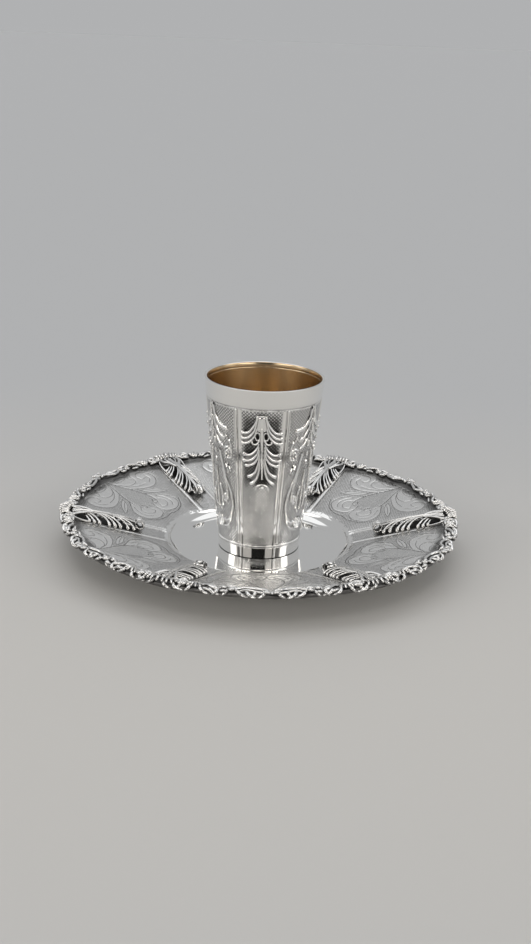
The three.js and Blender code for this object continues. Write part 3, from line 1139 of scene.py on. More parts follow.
@dataclass
class CupLeaf:
    """The leaf that hangs below the lip band of the cup, on every second panel."""

    cup: Beaker
    name: str
    crown: float = 78.4
    stand_off: float = 0.45
    lean: float = 0.03

    def __post_init__(self) -> None:
        """Takes its place from the frame."""
        low, high = box_mm(self.name)
        middle = (low + high) / 2
        nearest = round(math.degrees(math.atan2(middle[0], -middle[1])) / 120) * 120
        self.degrees = float(nearest)

    def seat(self, across: Array, along: Array, up: Array) -> Array:
        """Seats points of the leaf on the cup's wall.

        Args:
            across: distance from the spine.
            along: distance from the root of the leaf.
            up: height over what it lies on.

        Returns:
            The points.
        """
        height = self.crown - along
        degrees = self.degrees + np.degrees((across + self.lean * along) / self.cup.radius(height))
        return self.cup.on_wall(degrees, height, self.cup.ground + self.stand_off + up)

    def fronds(self) -> list[list[Frond]]:
        """Lists the fronds of one side.

        Returns:
            The three tiers, from the crown down.
        """
        upper = [
            Frond([(2.3, 1.6, 0.7), (3.9, 5.4, 1.1), (6.2, 8.4, 1.3), (8.9, 9.0, 0.9), (9.7, 8.3, 0.7)]),
            Frond([(2.6, 4.4, 0.7), (4.0, 8.4, 1.2), (6.6, 11.2, 1.4), (9.1, 11.6, 0.9), (9.9, 10.9, 0.7)]),
            Frond([(2.4, 6.6, 0.7), (3.6, 10.6, 1.1), (6.2, 13.6, 1.3), (9.0, 14.2, 0.9), (9.8, 13.5, 0.7)]),
        ]
        middle = [
            Frond([(1.3, 14.2, 0.7), (2.6, 17.4, 1.1), (5.2, 19.9, 1.3), (8.0, 20.1, 0.9), (8.8, 19.3, 0.7)]),
            Frond([(1.2, 15.8, 0.7), (2.4, 19.8, 1.1), (5.0, 22.7, 1.3), (8.2, 23.3, 0.9), (9.1, 22.6, 0.7)]),
            Frond([(1.1, 17.4, 0.7), (2.0, 21.6, 1.0), (4.0, 24.8, 1.2), (6.9, 25.9, 0.9), (7.8, 25.3, 0.7)]),
        ]
        lower = [
            Frond([(1.0, 19.6, 0.6), (1.7, 24.6, 0.9), (3.2, 29.2, 1.1), (5.8, 31.6, 0.9), (6.7, 31.2, 0.7)]),
            Frond([(0.8, 22.0, 0.6), (1.3, 27.6, 0.9), (2.5, 32.4, 1.1), (4.8, 35.3, 0.9), (5.8, 35.2, 0.7)]),
        ]
        return [upper, middle, lower]

    def build(self, silver: bpy.types.Material) -> bpy.types.Object:
        """Builds the leaf: crown, eyes, three tiers, curls and the small arch at its foot.

        Args:
            silver: the cast silver.

        Returns:
            The piece.
        """
        leaf = Casting(self.seat)
        for tier in self.fronds():
            leaf.spray(tier, 0.8)
        spine = flowing([(0, 6.2, 0.8), (0, 14, 1.2), (0, 24, 1.2), (0, 33, 0.8)], 0.8)
        leaf.rod(spine, np.linspace(0.95, 0.45, len(spine)))
        shield = flowing([(0, 1.0, 0.3), (0, 4.0, 0.5), (0, 7.4, 0.4)], 0.6)
        leaf.rod(shield, np.linspace(2.0, 2.9, len(shield)), 0.3)
        leaf.line([(-2.3, 0.9, 0.9), (-1.9, 0.2, 1.1), (1.9, 0.2, 1.1), (2.3, 0.9, 0.9)], 0.5, 0.5)
        leaf.line([(-2.0, 1.3, 0.8), (0, 1.5, 0.9), (2.0, 1.3, 0.8)], 0.5, 0.3)
        edge = [(2.1, 0.6, 0.9), (2.5, 3.2, 1.0), (3.0, 6.4, 0.9)]
        curl = [(1.0, 12.2, 0.9), (2.2, 14.2, 1.2), (3.7, 14.6, 1.0), (4.7, 13.8, 0.8), (4.3, 12.9, 0.7)]
        turn = np.linspace(0, 2 * math.pi, 25)
        for side in (1, -1):
            leaf.line(edge, 0.5, 0.55, side)
            leaf.line(curl, 0.4, 0.5, side)
            eye = [side * 2.0 + 1.15 * np.cos(turn), 10.6 + 2.0 * np.sin(turn), np.full(25, 0.7)]
            leaf.rod(np.column_stack(eye), 0.38)
            leaf.knob((side * 3.0, 38.6, 0.7), 0.7)
        arch = [(-3.0, 38.4, 0.7), (-2.3, 36.9, 0.9), (0, 35.8, 1.0), (2.3, 36.9, 0.9), (3.0, 38.4, 0.7)]
        leaf.line(arch, 0.4, 0.6)
        leaf.knob((0.2, 37.6, 0.8), 0.95)
        return leaf.finish(self.name, silver)


# ---------------------------------------------------------------- saucer


def from_seam(across: Array, along: Array) -> Array:
    """How far a point of a saucer panel lies from the line between two panels."""
    return along * HALF_SIN - abs(across) * HALF_COS


@dataclass
class Dish:
    """The spun dish of the saucer: mirror well, concave cove, six engraved panels between plain bands."""

    turn: float = 4.0
    sheet: float = 0.9
    well: float = 42.6
    cove: float = 47.0
    cove_height: float = 4.2
    plain: float = 47.4
    edge: float = 94.6
    edge_height: float = 15.2
    strip_half: float = 5.2
    band_half: float = 7.6
    band_rise: float = 0.5
    panel_rise: float = 1.0
    cut_half: float = 0.26
    cut_depth: float = 0.1
    leaf_outer: float = 94.0
    leaf_inner: float = 59.0

    def height(self, reach: Array | float) -> Array:
        """Gives the height of the plain dish.

        Args:
            reach: distance from the dish's middle.

        Returns:
            The height of its upper face.
        """
        reach = np.asarray(reach, float)
        share = np.clip((reach - self.well) / (self.cove - self.well), 0, 1)
        ease = (1 - np.sqrt(1 - share**2) + share) / 2
        out = (reach - self.cove) / (self.edge - self.cove)
        rim = self.cove_height + out * (self.edge_height - self.cove_height)
        return np.where(reach < self.cove, self.sheet + (self.cove_height - self.sheet) * ease, rim)

    def relief(self, across: Array, along: Array) -> Array:
        """Rise of bands and panels above the plain dish.

        Args:
            across: distance from a panel's middle line.
            along: distance out along that line.

        Returns:
            The rise.
        """
        reach = np.hypot(across, along)
        off = from_seam(across, along)
        band = self.band_rise * smooth_step(off, self.strip_half - 0.3, self.strip_half + 0.3)
        panel = (self.panel_rise - self.band_rise) * smooth_step(off, self.band_half, self.band_half + 7)
        seam = 0.3 * bell(off - self.band_half, 0.35)
        return (band + panel - seam) * smooth_step(reach, self.plain + 0.2, self.plain + 1.3)

    def cuts(self) -> list[Array]:
        """Draws the engraved lines of the right half of a panel.

        Returns:
            The lines, as [across, along].
        """
        routes = [
            [(0.3, 97), (1.2, 92), (3.2, 86), (6.2, 79), (8, 72), (7.3, 66.8), (5.2, 64.6), (3.7, 66.1),
             (4.9, 67.6)],
            [(1.4, 95.4), (3.4, 92), (7.5, 90), (11.6, 90), (13.7, 91.5), (12.6, 92.9)],
            [(1.9, 91.8), (4.1, 87.6), (8.9, 84.4), (14.4, 84.2), (16.4, 87.1), (15.0, 88.8)],
            [(3.6, 88.6), (6.8, 84.7), (12.3, 81.2), (17.8, 79.8)],
            [(23.3, 83.7), (20.5, 84.0), (19.6, 87.1), (22.6, 89.5), (27.0, 88.4), (28.7, 82.7), (25.3, 77.9),
             (19.8, 75.9), (13, 77.7), (6.2, 81.8)],
            [(16.8, 86.6), (17.4, 90.2), (20.4, 92.2), (24.2, 92.0)],
            [(8.9, 77.9), (13, 76.0), (17.8, 72.4), (20.9, 68.0), (15.7, 70.2), (11.6, 73.2), (8.9, 77.4)],
            [(11.2, 75.2), (15.2, 72.6), (18.4, 70.0)],
            [(7.9, 74.2), (11.2, 70.9), (15.0, 67.2), (16.6, 62.3), (15, 57.5), (8.9, 54.6), (2.2, 56.5),
             (0.3, 61.3), (1.6, 65.6)],
            [(8.2, 66.8), (10.8, 64.2), (9.6, 60.9), (6.4, 59.2), (3.6, 60.6), (4.4, 63.0)],
            [(11.4, 68.4), (13.2, 64.4), (12.6, 60.4), (9.8, 57.6)],
            [(0, 53.4), (6, 52.6), (13, 54.4), (18.4, 59.2)],
            [(6.0, 92.6), (9.2, 94.6), (13.6, 95.2)],
            [(21.0, 79.6), (24.4, 81.4), (25.2, 84.8)],
        ]
        return [flowing(route, 0.42) for route in routes]

    def bodies(self) -> list[Array]:
        """Draws the plain leaf bodies of the right half of a panel.

        Returns:
            Their outlines, as [across, along].
        """
        upper = [(0.8, 97), (3.4, 92.6), (7.5, 90.6), (13.4, 91.6), (14.6, 88.6), (17, 91), (22.6, 92.6),
                 (28, 88.8), (29, 82.4), (25.3, 77.4), (19.8, 75.3), (13, 77.2), (6.4, 80.8), (3.2, 87),
                 (1.2, 92)]
        drop = [(8.9, 78), (13, 76.4), (17.8, 72.8), (21.2, 67.8), (15.5, 69.8), (11.2, 72.8)]
        foot = [(0, 66), (3, 67.8), (7.4, 66.4), (8, 73.4), (12, 70.6), (15.4, 67.2), (17, 62.3),
                (15.2, 57.2), (8.9, 54.2), (2, 56.1), (0, 58)]
        return [np.array(body, float) for body in (upper, drop, foot)]

    def almond(self) -> Array:
        """Outline of the ribbed almond in the right half of a panel."""
        outline = [(0, 97), (1.1, 92), (3.0, 86), (6.0, 79), (7.7, 72), (7.0, 67), (4, 64), (0, 63)]
        return np.array(outline, float)

    def half_points(self, cuts: list[Array]) -> Array:
        """Points of the right half of a panel, dense along the cuts and the band's edges.

        Args:
            cuts: the engraved lines.

        Returns:
            Points as [across, along].
        """
        turns = np.radians(np.arange(0, 31))
        arcs = [np.stack([r * np.sin(turns), r * np.cos(turns)], 1) for r in (self.plain, self.edge)]
        sides = np.linspace(self.plain, self.edge, 64)[1:-1]
        fixed = [*arcs, np.stack([0 * sides, sides], 1), np.outer(sides, [HALF_SIN, HALF_COS])]
        loose = []
        for path in cuts:
            tangent = tangents(path)
            normal = np.stack([-tangent[:, 1], tangent[:, 0]], 1)
            loose += [path, path + normal * self.cut_half, path - normal * self.cut_half]
        for edge, step in product((self.strip_half, self.band_half), (-0.35, 0, 0.35)):
            off = edge + step
            start = math.sqrt(self.plain**2 - off**2)
            run = np.arange(start + 0.8, self.edge, 0.9)[:, None]
            loose.append(run * [HALF_SIN, HALF_COS] + off * np.array([-HALF_COS, HALF_SIN]))
        x, y = np.meshgrid(np.arange(0.8, 48, 1.5), np.arange(43, 95, 1.3))
        x = x + 0.75 * (np.arange(len(x)) % 2)[:, None]
        grid = np.stack([x.ravel(), y.ravel()], 1)
        lines = np.vstack(loose)
        apart = np.sqrt(((grid[:, None] - lines[None]) ** 2).sum(2)).min(1)
        loose = np.vstack([lines, grid[apart > 0.7]])
        reach, angle = np.hypot(*loose.T), np.arctan2(loose[:, 0], loose[:, 1])
        keep = (reach > self.plain + 0.5) & (reach < self.edge - 0.4)
        keep &= (loose[:, 0] > 0.12) & ((SECTOR / 2 - angle) * reach > 0.12)
        loose = loose[keep]
        cells = np.unique(np.round(loose / 0.17).astype(int), axis=0, return_index=True)[1]
        return np.vstack([*fixed, loose[np.sort(cells)]])

    def half_panel(self) -> tuple[Array, Array, Array, Array, Array]:
        """Meshes the right half of a panel.

        Returns:
            Points [across, along, height], triangles, darkness of each point from patina and painted shade,
            hatching of each triangle and pattern of each point.
        """
        cuts = self.cuts()
        flat = np.unique(np.round(self.half_points(cuts), 4), axis=0)
        made = delaunay_2d_cdt([Vector(p) for p in flat.tolist()], [], [], 0, 1e-5)
        flat = np.array([tuple(v) for v in made[0]])
        faces = np.array(made[2])
        middle = flat[faces].mean(1)
        keep = np.hypot(*middle.T) > self.plain * math.cos(math.radians(0.5)) + 0.01
        faces, middle = faces[keep], middle[keep]
        lines = np.vstack(cuts)
        near = np.sqrt(((flat[:, None] - lines[None]) ** 2).sum(2)).min(1)
        cut = np.clip(1 - near / (self.cut_half * 0.95), 0, 1)
        reach = np.hypot(*flat.T)
        off = from_seam(*flat.T)
        cut = cut * (off > self.band_half) * (reach < self.edge - 0.6)
        z = self.height(reach) + self.relief(*flat.T) - self.cut_depth * cut
        edges = bell(off - self.strip_half, 0.4) + bell(off - self.band_half, 0.3)
        edges = 0.55 * edges * smooth_step(reach, self.plain + 1, self.plain + 4)
        # Painted shade: the panel darkens towards its outer edge, where the border stands over it.
        foot = smooth_step(reach, self.edge - 4.5, self.edge - 1.5)
        oxide_and_shade = np.maximum.reduce([0.95 * np.sqrt(cut), edges, 0.55 * foot, self.leaf_shadow(reach, off)])
        crossed = (np.hypot(*middle.T) > self.plain + 1.4).astype(float)
        off = from_seam(*middle.T)
        crossed *= (off > self.band_half + 0.3) | (off < self.strip_half - 0.2)
        for body in self.bodies():
            crossed *= ~inside(body, middle)
        ribbed = inside(self.almond(), flat).astype(float)
        crossed = np.maximum(crossed, inside(self.almond(), middle))
        pattern = np.stack([flat[:, 0], flat[:, 1], ribbed], 1)
        return np.column_stack([flat, z]), faces, oxide_and_shade, crossed, pattern

    def leaf_shadow(self, reach: Array, off: Array) -> Array:
        """Painted shade and patina under a cast leaf, nearly black where its fronds leave voids."""
        along = smooth_step(reach, self.leaf_inner + 1, self.leaf_inner + 5)
        return 0.97 * along * fade(abs(off), 4.4, 6.6)

    def ring(self, angles: Array, reach: float, height: Array | float) -> Array:
        """A ring of points about the axis."""
        level = np.broadcast_to(height, len(angles))
        return np.stack([reach * np.cos(angles), reach * np.sin(angles), level], 1)

    def build(self, silver: bpy.types.Material) -> bpy.types.Object:
        """Builds the dish.

        Args:
            silver: the chased silver.

        Returns:
            The piece.
        """
        shell = Shell()
        points, faces, oxide_and_shade, hatch, pattern = self.half_panel()
        for k in range(SECTORS):
            middle = math.radians(self.turn) + SECTOR * (k + 0.5)
            ahead = np.array([math.cos(middle), math.sin(middle)])
            right = np.array([math.sin(middle), -math.cos(middle)])
            for side in (1, -1):
                ground = side * points[:, :1] * right + points[:, 1:2] * ahead
                wound = faces if side < 0 else faces[:, ::-1]
                satin = smooth_step(np.hypot(*points.T[:2]), self.plain, self.plain + 6)
                shell.add(np.column_stack([ground, points[:, 2]]), wound, oxide_and_shade, hatch, pattern, satin=satin)
        degrees = np.arange(360)
        angles = math.radians(self.turn) + np.radians(degrees)
        cove, well = np.linspace(self.plain, self.cove, 5), np.linspace(self.cove, self.well, 9)
        reaches = np.r_[cove, well[1:], 41, 30, 15, 0]
        top = np.vstack([self.ring(angles, r, self.height(r)) for r in reaches])
        shell.add(top, grid_faces(len(reaches), len(degrees), closed=True)[:, ::-1])
        local = (np.radians(degrees) % SECTOR) - SECTOR / 2

        def rise(reach: float) -> Array | float:
            """Rise of the relief all round at a distance from the middle."""
            return self.relief(reach * np.sin(local), reach * np.cos(local)) if reach > self.plain else 0

        below = [self.ring(angles, self.edge, self.edge_height + rise(self.edge))]
        panels = np.linspace(self.edge, self.plain, 24)
        for r in np.r_[panels, np.linspace(self.cove, self.well, 7), 41, 20, 0]:
            below.append(self.ring(angles, r, np.maximum(self.height(r) + rise(r) - self.sheet, 0)))
        shell.add(np.vstack(below), grid_faces(len(below), len(degrees), closed=True))
        piece = shell.build("saucer_dish_sheet", [silver], 40, weld=0.02)
        dress(piece, Slot.CHASED, "saucer_dish")
        return piece


def inside(outline: Array, points: Array) -> Array:
    """Which points lie inside a closed outline.

    Args:
        outline: its corners in order.
        points: the points.

    Returns:
        True for each point inside.
    """
    a, b = outline[None], np.roll(outline, -1, axis=0)[None]
    x, y = points[:, :1], points[:, 1:]
    spans = (a[..., 1] > y) != (b[..., 1] > y)
    rise = np.where(b[..., 1] == a[..., 1], 1e-9, b[..., 1] - a[..., 1])
    left_of = x < (b[..., 0] - a[..., 0]) * (y - a[..., 1]) / rise + a[..., 0]
    return (spans & left_of).sum(1) % 2 == 1


@dataclass
class SaucerLeaf:
    """The leaf that grows from the border towards the well, over a line between two panels."""

    dish: Dish
    name: str
    number: int
    spine: float = 4.4

    def seat(self, across: Array, along: Array, up: Array) -> Array:
        """Seats points of the leaf above the dish.

        Args:
            across: distance from the spine.
            along: distance from the root of the leaf.
            up: height over what it lies on.

        Returns:
            The points.
        """
        angle = math.radians(self.dish.turn) + SECTOR * self.number
        out = self.dish.leaf_outer - along
        ahead, right = (math.cos(angle), math.sin(angle)), (math.sin(angle), -math.cos(angle))
        x, y = out * ahead[0] + across * right[0], out * ahead[1] + across * right[1]
        return np.stack([x, y, self.dish.height(np.hypot(out, across)) + up], -1)

    def frond(self, root: float, tip: float, reach: float, half: float) -> Frond:
        """A frond that leaves the spine, arches over and comes down to a bulb near the dish.

        Args:
            root: where it leaves the spine, along the leaf.
            tip: where it ends, along the leaf.
            reach: how far it ends from the spine.
            half: half its thickness.

        Returns:
            The frond.
        """
        crest = self.arch(root)
        drop = tip - root
        route = [
            (0.4, root, crest - 0.2),
            (0.2 * reach + 0.4, root + 0.36 * drop, crest + 0.2),
            (0.5 * reach, root + 0.68 * drop, 0.9 * crest),
            (0.8 * reach, root + 0.9 * drop, 0.62 * crest),
            (reach, tip, 0.95),
        ]
        return Frond(route, half, half + 0.5)

    def arch(self, along: float) -> float:
        """Height of the spine above the dish."""
        share = min(max(along / 34, 0), 1)
        return self.spine * (0.66 + 0.4 * math.sin(math.pi * share**0.9))

    def build(self, silver: bpy.types.Material) -> bpy.types.Object:
        """Builds the leaf: broad base, three tiers of fronds, arched spine and the curl at its end.

        Args:
            silver: the cast silver.

        Returns:
            The piece.
        """
        # Rods painted black at their foot: shade and patina.
        leaf = Casting(self.seat, hollow=1.0)
        tiers = [
            [(0.6, 7.4, 6.7), (2.0, 10.0, 7.1), (3.6, 12.7, 7.0)],
            [(8.2, 17.6, 6.6), (9.9, 20.5, 6.5), (11.8, 23.2, 6.0)],
            [(17.6, 26.8, 5.4), (19.8, 29.9, 4.8)],
        ]
        for half, tier in zip((0.56, 0.54, 0.5), tiers):
            leaf.spray([self.frond(*sizes, half) for sizes in tier])
        along = np.linspace(-1.5, 31, 26)
        spine = np.column_stack([0 * along, along, [self.arch(v) for v in along]])
        leaf.rod(spine, np.linspace(1.3, 0.7, len(spine)), 0.5)
        for across in (-0.5, 0.5):
            leaf.rod(spine + [across, 0, 0.3], np.linspace(0.5, 0.34, len(spine)))
        cheek = [(1.0, 8.6, 4.3), (2.6, 5.2, 4.3), (4.2, 2.4, 3.8), (5.2, -0.4, 3.0), (5.0, -2.6, 2.6)]
        lip = [(6.6, 6.6, 0.9), (6.9, 4.0, 1.1), (7.0, 1.2, 1.5), (6.6, -1.6, 2.2)]
        inner = [(1.4, 3.6, 3.5), (2.4, 1.4, 3.5), (2.9, -1.6, 3.2)]
        end = [(1.2, 24.0, 2.6), (2.6, 27.6, 2.4), (3.0, 30.4, 1.6)]
        for side in (1, -1):
            leaf.line(cheek, 0.5, 0.85, side, 0.7)
            leaf.line(lip, 0.5, 0.55, side)
            leaf.line(inner, 0.5, 0.5, side)
            leaf.line(end, 0.6, 0.6, side)
        self.add_curl(leaf)
        return leaf.finish(self.name, silver)

    def add_curl(self, leaf: Casting) -> None:
        """Adds the volute that rolls up at the inner end.

        Args:
            leaf: the casting that it ends.
        """
        rings = 24
        turn = np.linspace(-0.6, 1.7 * math.pi, rings)
        middle = np.array([0, 32.4, 3.4])

        def roll(across: float, radius: Array | float) -> Array:
            """Points of the curl at a distance across and from its middle."""
            return middle + np.column_stack([0 * turn + across, radius * np.sin(turn), radius * np.cos(turn)])

        radius = np.linspace(2.5, 1.5, rings)
        points = leaf.place(roll(0, radius))[0]
        away = leaf.place(roll(0, 3 * radius))[0] - points
        leaf.shell.sweep(points, away, np.linspace(1.3, 2.3, rings), 0.5, 0.95, 10)
        for side in (1, -1):
            leaf.rod(roll(side * 2.2, 2.1), 0.45)


@dataclass
class Border:
    """The cast rim of scrolls, shells and beads, mirrored about each panel's middle and each leaf."""

    dish: Dish
    base: float = 97.4
    lobe: float = 1.3
    low: float = 15.9
    per_degree: float = 1.7

    def seat(self, degrees: Array, out: Array, up: Array) -> Array:
        """A point of the border.

        Args:
            degrees: angle from a leaf's line.
            out: distance out from the border's middle line.
            up: height above its underside's middle.

        Returns:
            The point, a little uneven as a casting is.
        """
        turn = np.radians(degrees) + math.radians(self.dish.turn)
        half = PANEL / 2
        fold = abs((np.asarray(degrees) + half) % PANEL - half)
        full = self.lobe * (bell(fold, 6.5) + 0.5 * bell(half - fold, 4.5))
        reach = self.base + full + out
        x, y = reach * np.cos(turn), reach * np.sin(turn)
        uneven = 0.16 * np.sin(0.9 * x + 0.4 * y) + 0.12 * np.sin(0.5 * x - 1.3 * y + 2)
        level = self.low + up + 0.12 * out + 0.5 * uneven
        return np.stack([x + uneven * np.cos(turn), y + uneven * np.sin(turn), level], -1)

    def arc(self, *route: Place) -> Array:
        """A smooth line through points of [degrees, out, up]."""
        scale = [self.per_degree, 1, 1]
        return flowing(np.array(route, float) * scale, 0.5) / scale

    def curl(
        self, degrees: float, out: float, start: float, turns: float, outer: float, inner: float, lift: float
    ) -> Array:
        """A small volute that rises to its eye.

        Args:
            degrees: angle of its middle from a leaf's line.
            out: distance of its middle out from the border's middle line.
            start: direction of its outer end, in degrees.
            turns: turns to its eye, negative if clockwise.
            outer: radius of its outer end.
            inner: radius at its eye.
            lift: height of its outer end.

        Returns:
            Its points, as [degrees, out, up].
        """
        flat = spiral(start, turns, outer, inner)
        rise = lift + 0.9 * np.linspace(0, 1, len(flat))
        return np.column_stack([degrees + flat[:, 0] / self.per_degree, out + flat[:, 1], rise])

    def ornaments(self) -> list[Swept]:
        """Lists the swept forms of one half sector.

        Returns:
            Each form as [degrees, out, up], with half its width and height.
        """
        arc, curl = self.arc, self.curl
        return [
            (curl(28.8, 2.6, 200, 1.2, 1.9, 0.5, 2.4), 0.6, 0.6),
            (arc((30, 0.6, 2.6), (30, 3.0, 3.0), (30, 4.6, 2.7)), 0.7, 0.6),
            (arc((29.4, -0.6, 2.4), (28.0, 0.2, 3.0), (26.4, -0.9, 2.9), (24.0, -1.9, 2.6), (22.0, -1.2, 2.6),
                 (20.6, 0.6, 2.6)), 0.75, 0.8),
            (arc((28.0, 1.4, 1.8), (26.0, 1.3, 2.2), (23.8, 0.5, 2.4), (21.8, 1.0, 2.0)), 0.5, 0.6),
            (curl(19.8, 0.8, 20, -1.3, 1.9, 0.5, 2.2), 0.62, 0.7),
            (arc((20.6, -1.8, 2.2), (19.6, -2.4, 2.7), (18.3, -2.0, 2.4)), 0.7, 0.7),
            (curl(17.4, -0.4, 150, 1.2, 1.6, 0.4, 2.3), 0.6, 0.7),
            (arc((18.6, 2.6, 1.7), (17.8, 3.0, 2.2), (16.8, 2.4, 1.9)), 0.65, 0.7),
            (arc((16.4, 1.9, 2.0), (15.0, 1.4, 2.8), (13.6, 0.0, 3.0), (12.4, -1.4, 2.6), (11.2, -1.6, 2.2)),
             0.75, 0.8),
            (arc((15.4, -1.5, 2.0), (14.2, -2.2, 2.3), (13.0, -2.6, 2.0)), 0.55, 0.6),
            (arc((14.6, 2.7, 1.4), (13.2, 2.3, 1.9), (12.0, 1.2, 1.9)), 0.55, 0.6),
            (arc((10.4, -2.2, 2.2), (10.9, 0.0, 3.2), (11.6, 2.0, 2.4)), 0.55, 0.7),
            (arc((10.0, -2.3, 2.3), (10.1, 0.2, 3.4), (10.3, 2.5, 2.5)), 0.55, 0.7),
            (arc((9.6, -2.2, 2.3), (9.3, 0.2, 3.3), (9.0, 2.4, 2.4)), 0.55, 0.7),
            (arc((9.2, -2.1, 2.2), (8.5, 0.0, 3.1), (7.9, 1.8, 2.3)), 0.55, 0.7),
            (curl(6.1, 0.2, 230, 1.15, 2.6, 0.9, 2.3), 0.8, 0.9),
            (curl(4.2, -1.6, 100, -1.1, 1.6, 0.5, 2.5), 0.6, 0.7),
            (arc((7.6, -2.4, 2.0), (6.0, -3.0, 2.8), (4.4, -2.8, 2.6)), 0.6, 0.7),
            (arc((3.4, -1.2, 2.4), (3.5, 1.0, 3.6), (4.0, 3.0, 2.6)), 0.6, 0.8),
            (arc((2.4, -1.4, 2.7), (2.5, 1.2, 3.8), (2.8, 3.5, 2.7)), 0.6, 0.8),
            (arc((1.4, -1.4, 2.8), (1.5, 1.3, 3.9), (1.6, 3.8, 2.8)), 0.6, 0.8),
            (arc((0, -1.4, 2.8), (0, 1.4, 4.0), (0, 4.0, 2.8)), 0.65, 0.8),
            *self.drops(),
        ]

    def drops(self) -> list[Swept]:
        """Lists the small tongues that hang over the outer edge of one half sector.

        Returns:
            The tongues, as ornaments() gives its forms.
        """
        made = []
        for number, degrees in enumerate(np.linspace(1.4, 28.4, 12)):
            reach = 2.7 + 0.5 * math.sin(2.3 * number)
            bend = (1.3 + 0.6 * math.sin(1.7 * number)) * (-1) ** (number // 2)
            shape = [(0, 1.0, 2.2), (0.4, reach, 1.5), (1, reach + 0.2, 0.4), (1.7, reach - 0.7, -0.3)]
            route = [(degrees + turn * bend, out, up) for turn, out, up in shape]
            made.append((self.arc(*route), 0.85, 0.75))
        return made

    def build(self, silver: bpy.types.Material) -> bpy.types.Object:
        """Builds the border: the ring that is soldered to the dish, painted dark with shade and patina, and
        its cast ornament.

        Args:
            silver: the cast silver.

        Returns:
            The piece.
        """
        shell = Shell()
        degrees = np.arange(0, 360, 0.5)
        # Darkness of each ring of the section: painted shade under the ornament, and patina.
        section = [(-3.3, 0.5, 0.85), (-2.4, 1.2, 0.97), (-0.8, 1.5, 0.97), (0.8, 1.5, 0.97),
                   (1.9, 1.1, 0.95), (2.3, 0.3, 0.9), (1.8, -0.8, 0.85), (0.0, -1.5, 0.7), (-2.0, -1.2, 0.5)]
        count, level = len(degrees), 0 * degrees
        rings = np.vstack([self.seat(degrees, out + level, up + level) for out, up, _ in section])
        faces = grid_faces(len(section), count, closed=True)
        close = np.stack([np.arange(count), (np.arange(count) + 1) % count], 1)
        last = (len(section) - 1) * count
        joined = np.column_stack([last + close[:, 0], last + close[:, 1], close[:, 1], close[:, 0]])
        tones = np.repeat([tone for _, _, tone in section], count)
        shell.add(rings, np.vstack([faces, joined])[:, ::-1], tones)
        for route, half_width, half_height in self.ornaments():
            number = np.arange(len(route))
            taper = np.clip(0.55 + 0.25 * np.minimum(number, number[::-1]), 0, 1)
            straight = np.ptp(route[:, 0]) < 1e-6 and route[0, 0] in (0, PANEL / 2)
            for k, side in product(range(SECTORS), (1,) if straight else (1, -1)):
                points = self.seat(PANEL * k + side * route[:, 0], route[:, 1], route[:, 2])
                shell.sweep(points, np.array([0, 0, 1.0]), half_width * taper, half_height * taper, 0.85)
        piece = shell.build("saucer_border_casting", [silver], 50)
        dress(piece, Slot.CAST, "saucer_border")
        return piece


# ---------------------------------------------------------------- studio


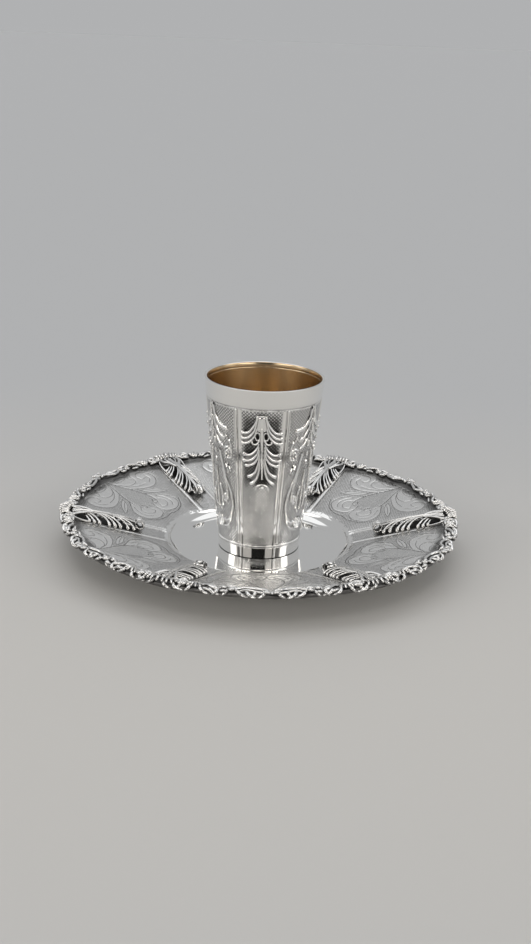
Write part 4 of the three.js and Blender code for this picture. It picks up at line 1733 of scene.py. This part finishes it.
@dataclass
class Studio:
    """The pale table, the tent of soft light over it and the camera.

    The tent's parts are named by the directions they fill: a turn is an angle from the front in radians, a
    rise is the upward part of the direction, lean and reach are slopes to the back and to the side.
    """

    eye: Place = (2.2, -609.0, 250.9)
    pitch: float = 19.08
    roll: float = 2.18
    lens: float = 48.18
    film: float = 36.0
    table_radius: float = 60000.0
    walls: float = 0.44
    opening_turn: tuple[float, float] = (0.34, 0.37)
    opening_rise: tuple[float, float] = (0.12, 0.602)
    curtain: float = 0.72
    curtain_turn: tuple[float, float] = (0.86, 1.12)
    curtain_rise: tuple[float, float] = (0.13, 0.70)
    side_lamps: float = 1.5
    side_turn: tuple[float, float] = (1.20, 1.55)
    side_rise: tuple[float, float] = (0.14, 0.78)
    lamp: float = 0.6
    lamp_lean: tuple[float, float] = (-0.2, 0.85)
    lamp_reach: tuple[float, float] = (0.62, 0.70)
    spot: float = 3.0
    spot_lean: tuple[float, float] = (-0.85, -0.5)
    spot_reach: tuple[float, float] = (0.16, 0.24)
    room: float = 3.4
    room_rise: tuple[float, float] = (0.24, 0.42)
    room_turn: tuple[float, float] = (0.36, 0.42)
    room_end: tuple[float, float] = (1.0, 1.2)
    warm: Colour = shade(1.03, 0.99, 0.94)
    cool: Colour = shade(0.99, 1.0, 1.015)

    def camera(self) -> bpy.types.Object:
        """Makes the camera.

        Returns:
            The camera, already chosen for the scene.
        """
        data = bpy.data.cameras.new("studio_camera")
        data.lens, data.sensor_width = self.lens, self.film
        data.clip_start, data.clip_end = 0.01, 200.0
        made = bpy.data.objects.new("studio_camera", data)
        tilt, roll = math.radians(self.pitch), math.radians(self.roll)
        ahead = Vector((0, math.cos(tilt), -math.sin(tilt)))
        up, right = Vector((0, math.sin(tilt), math.cos(tilt))), Vector((1, 0, 0))
        axis_x = math.cos(roll) * right + math.sin(roll) * up
        axis_y = -math.sin(roll) * right + math.cos(roll) * up
        turn = Matrix((axis_x, axis_y, -ahead)).transposed().to_4x4()
        made.matrix_world = Matrix.Translation(Vector(self.eye) * MM) @ turn
        bpy.context.scene.collection.objects.link(made)
        bpy.context.scene.camera = made
        return made

    def table(self) -> bpy.types.Object:
        """Makes the round table top.

        Returns:
            The table top.
        """
        work = bmesh.new()
        radius = self.table_radius * MM
        bmesh.ops.create_circle(work, cap_ends=True, segments=96, radius=radius)
        mesh = bpy.data.meshes.new("table_top")
        work.to_mesh(mesh)
        work.free()
        mesh.materials.append(Paper().material())
        made = bpy.data.objects.new("table_top", mesh)
        bpy.context.scene.collection.objects.link(made)
        return made

    def tent(self) -> None:
        """Makes the light tent as the world: pale walls, the front opening, curtains, lamps and the room."""
        world = bpy.data.worlds.new("light_tent")
        bpy.context.scene.world = world
        s = Shading(world)
        x, y, z = s.axes(s.node("ShaderNodeTexCoord").outputs["Generated"])
        ahead = y * -1.0
        turn = s.math("ARCTAN2", x.size(), ahead)

        def between(value: Wire, ends: tuple[float, float], soft: float) -> Wire:
            """1 between two values, 0 outside them."""
            low, high = ends
            return value.step(low - soft, low + soft) * (1 - value.step(high - soft, high + soft))

        opening = (1 - turn.step(*self.opening_turn)) * between(z, self.opening_rise, 0.006)
        curtains = between(turn, self.curtain_turn, 0.04) * between(z, self.curtain_rise, 0.03)
        sides = between(turn, self.side_turn, 0.05) * between(z, self.side_rise, 0.03)
        walls = self.walls * (1 - self.curtain * curtains) * (1 - opening) + self.side_lamps * sides
        above = z.most(0.05)
        lean, reach = y / above, (x / above).size()
        high = z.step(0.3, 0.5)
        lamp = between(lean, self.lamp_lean, 0.06) * (1 - reach.step(*self.lamp_reach)) * high
        spot = between(lean, self.spot_lean, 0.05) * (1 - reach.step(*self.spot_reach)) * high
        room = between(z, self.room_rise, 0.02) * turn.step(*self.room_turn) * (1 - turn.step(*self.room_end))
        light = walls + self.lamp * lamp + self.spot * spot + self.room * room
        warmth = ahead.step(-0.3, 0.7) * z.size().step(0.06, 0.14)
        tint = s.blend(warmth, self.cool, self.warm)
        back = s.node("ShaderNodeBackground", inputs={"Color": tint, "Strength": light})
        s.node("ShaderNodeOutputWorld", inputs={"Surface": back.outputs[0]})

    def build(self) -> None:
        """Sets up camera, table and light."""
        bpy.context.scene.view_settings.view_transform = "Standard"
        self.camera()
        self.table()
        self.tent()


def main() -> None:
    """Builds the studio, the cup and the saucer."""
    logging.basicConfig(level=logging.INFO, format="%(name)s %(message)s")
    Studio().build()
    chased = Silver("chased_silver").material()
    engraved = Silver(
        "engraved_silver",
        bright=shade(0.9, 0.895, 0.88),
        satin=0.12,
        hatch_pitch=0.9,
        hatch_depth=0.00004,
        hatch_dark=0.55,
        hatch_tilt=1.0,
        hatch_worn=0.1,
    ).material()
    cast = Silver("cast_silver", polish=0.1, matt=0.3).material()
    gilt = Gilt().material()
    cup = Beaker()
    cup.build(chased, gilt)
    for k in (1, 2, 3):
        CupLeaf(cup, f"cup_leaf_{k}").build(cast)
    dish = Dish()
    dish.build(engraved)
    Border(dish).build(cast)
    for k in range(SECTORS):
        SaucerLeaf(dish, f"saucer_leaf_{k + 1}", k).build(cast)


if __name__ == "__main__":
    main()
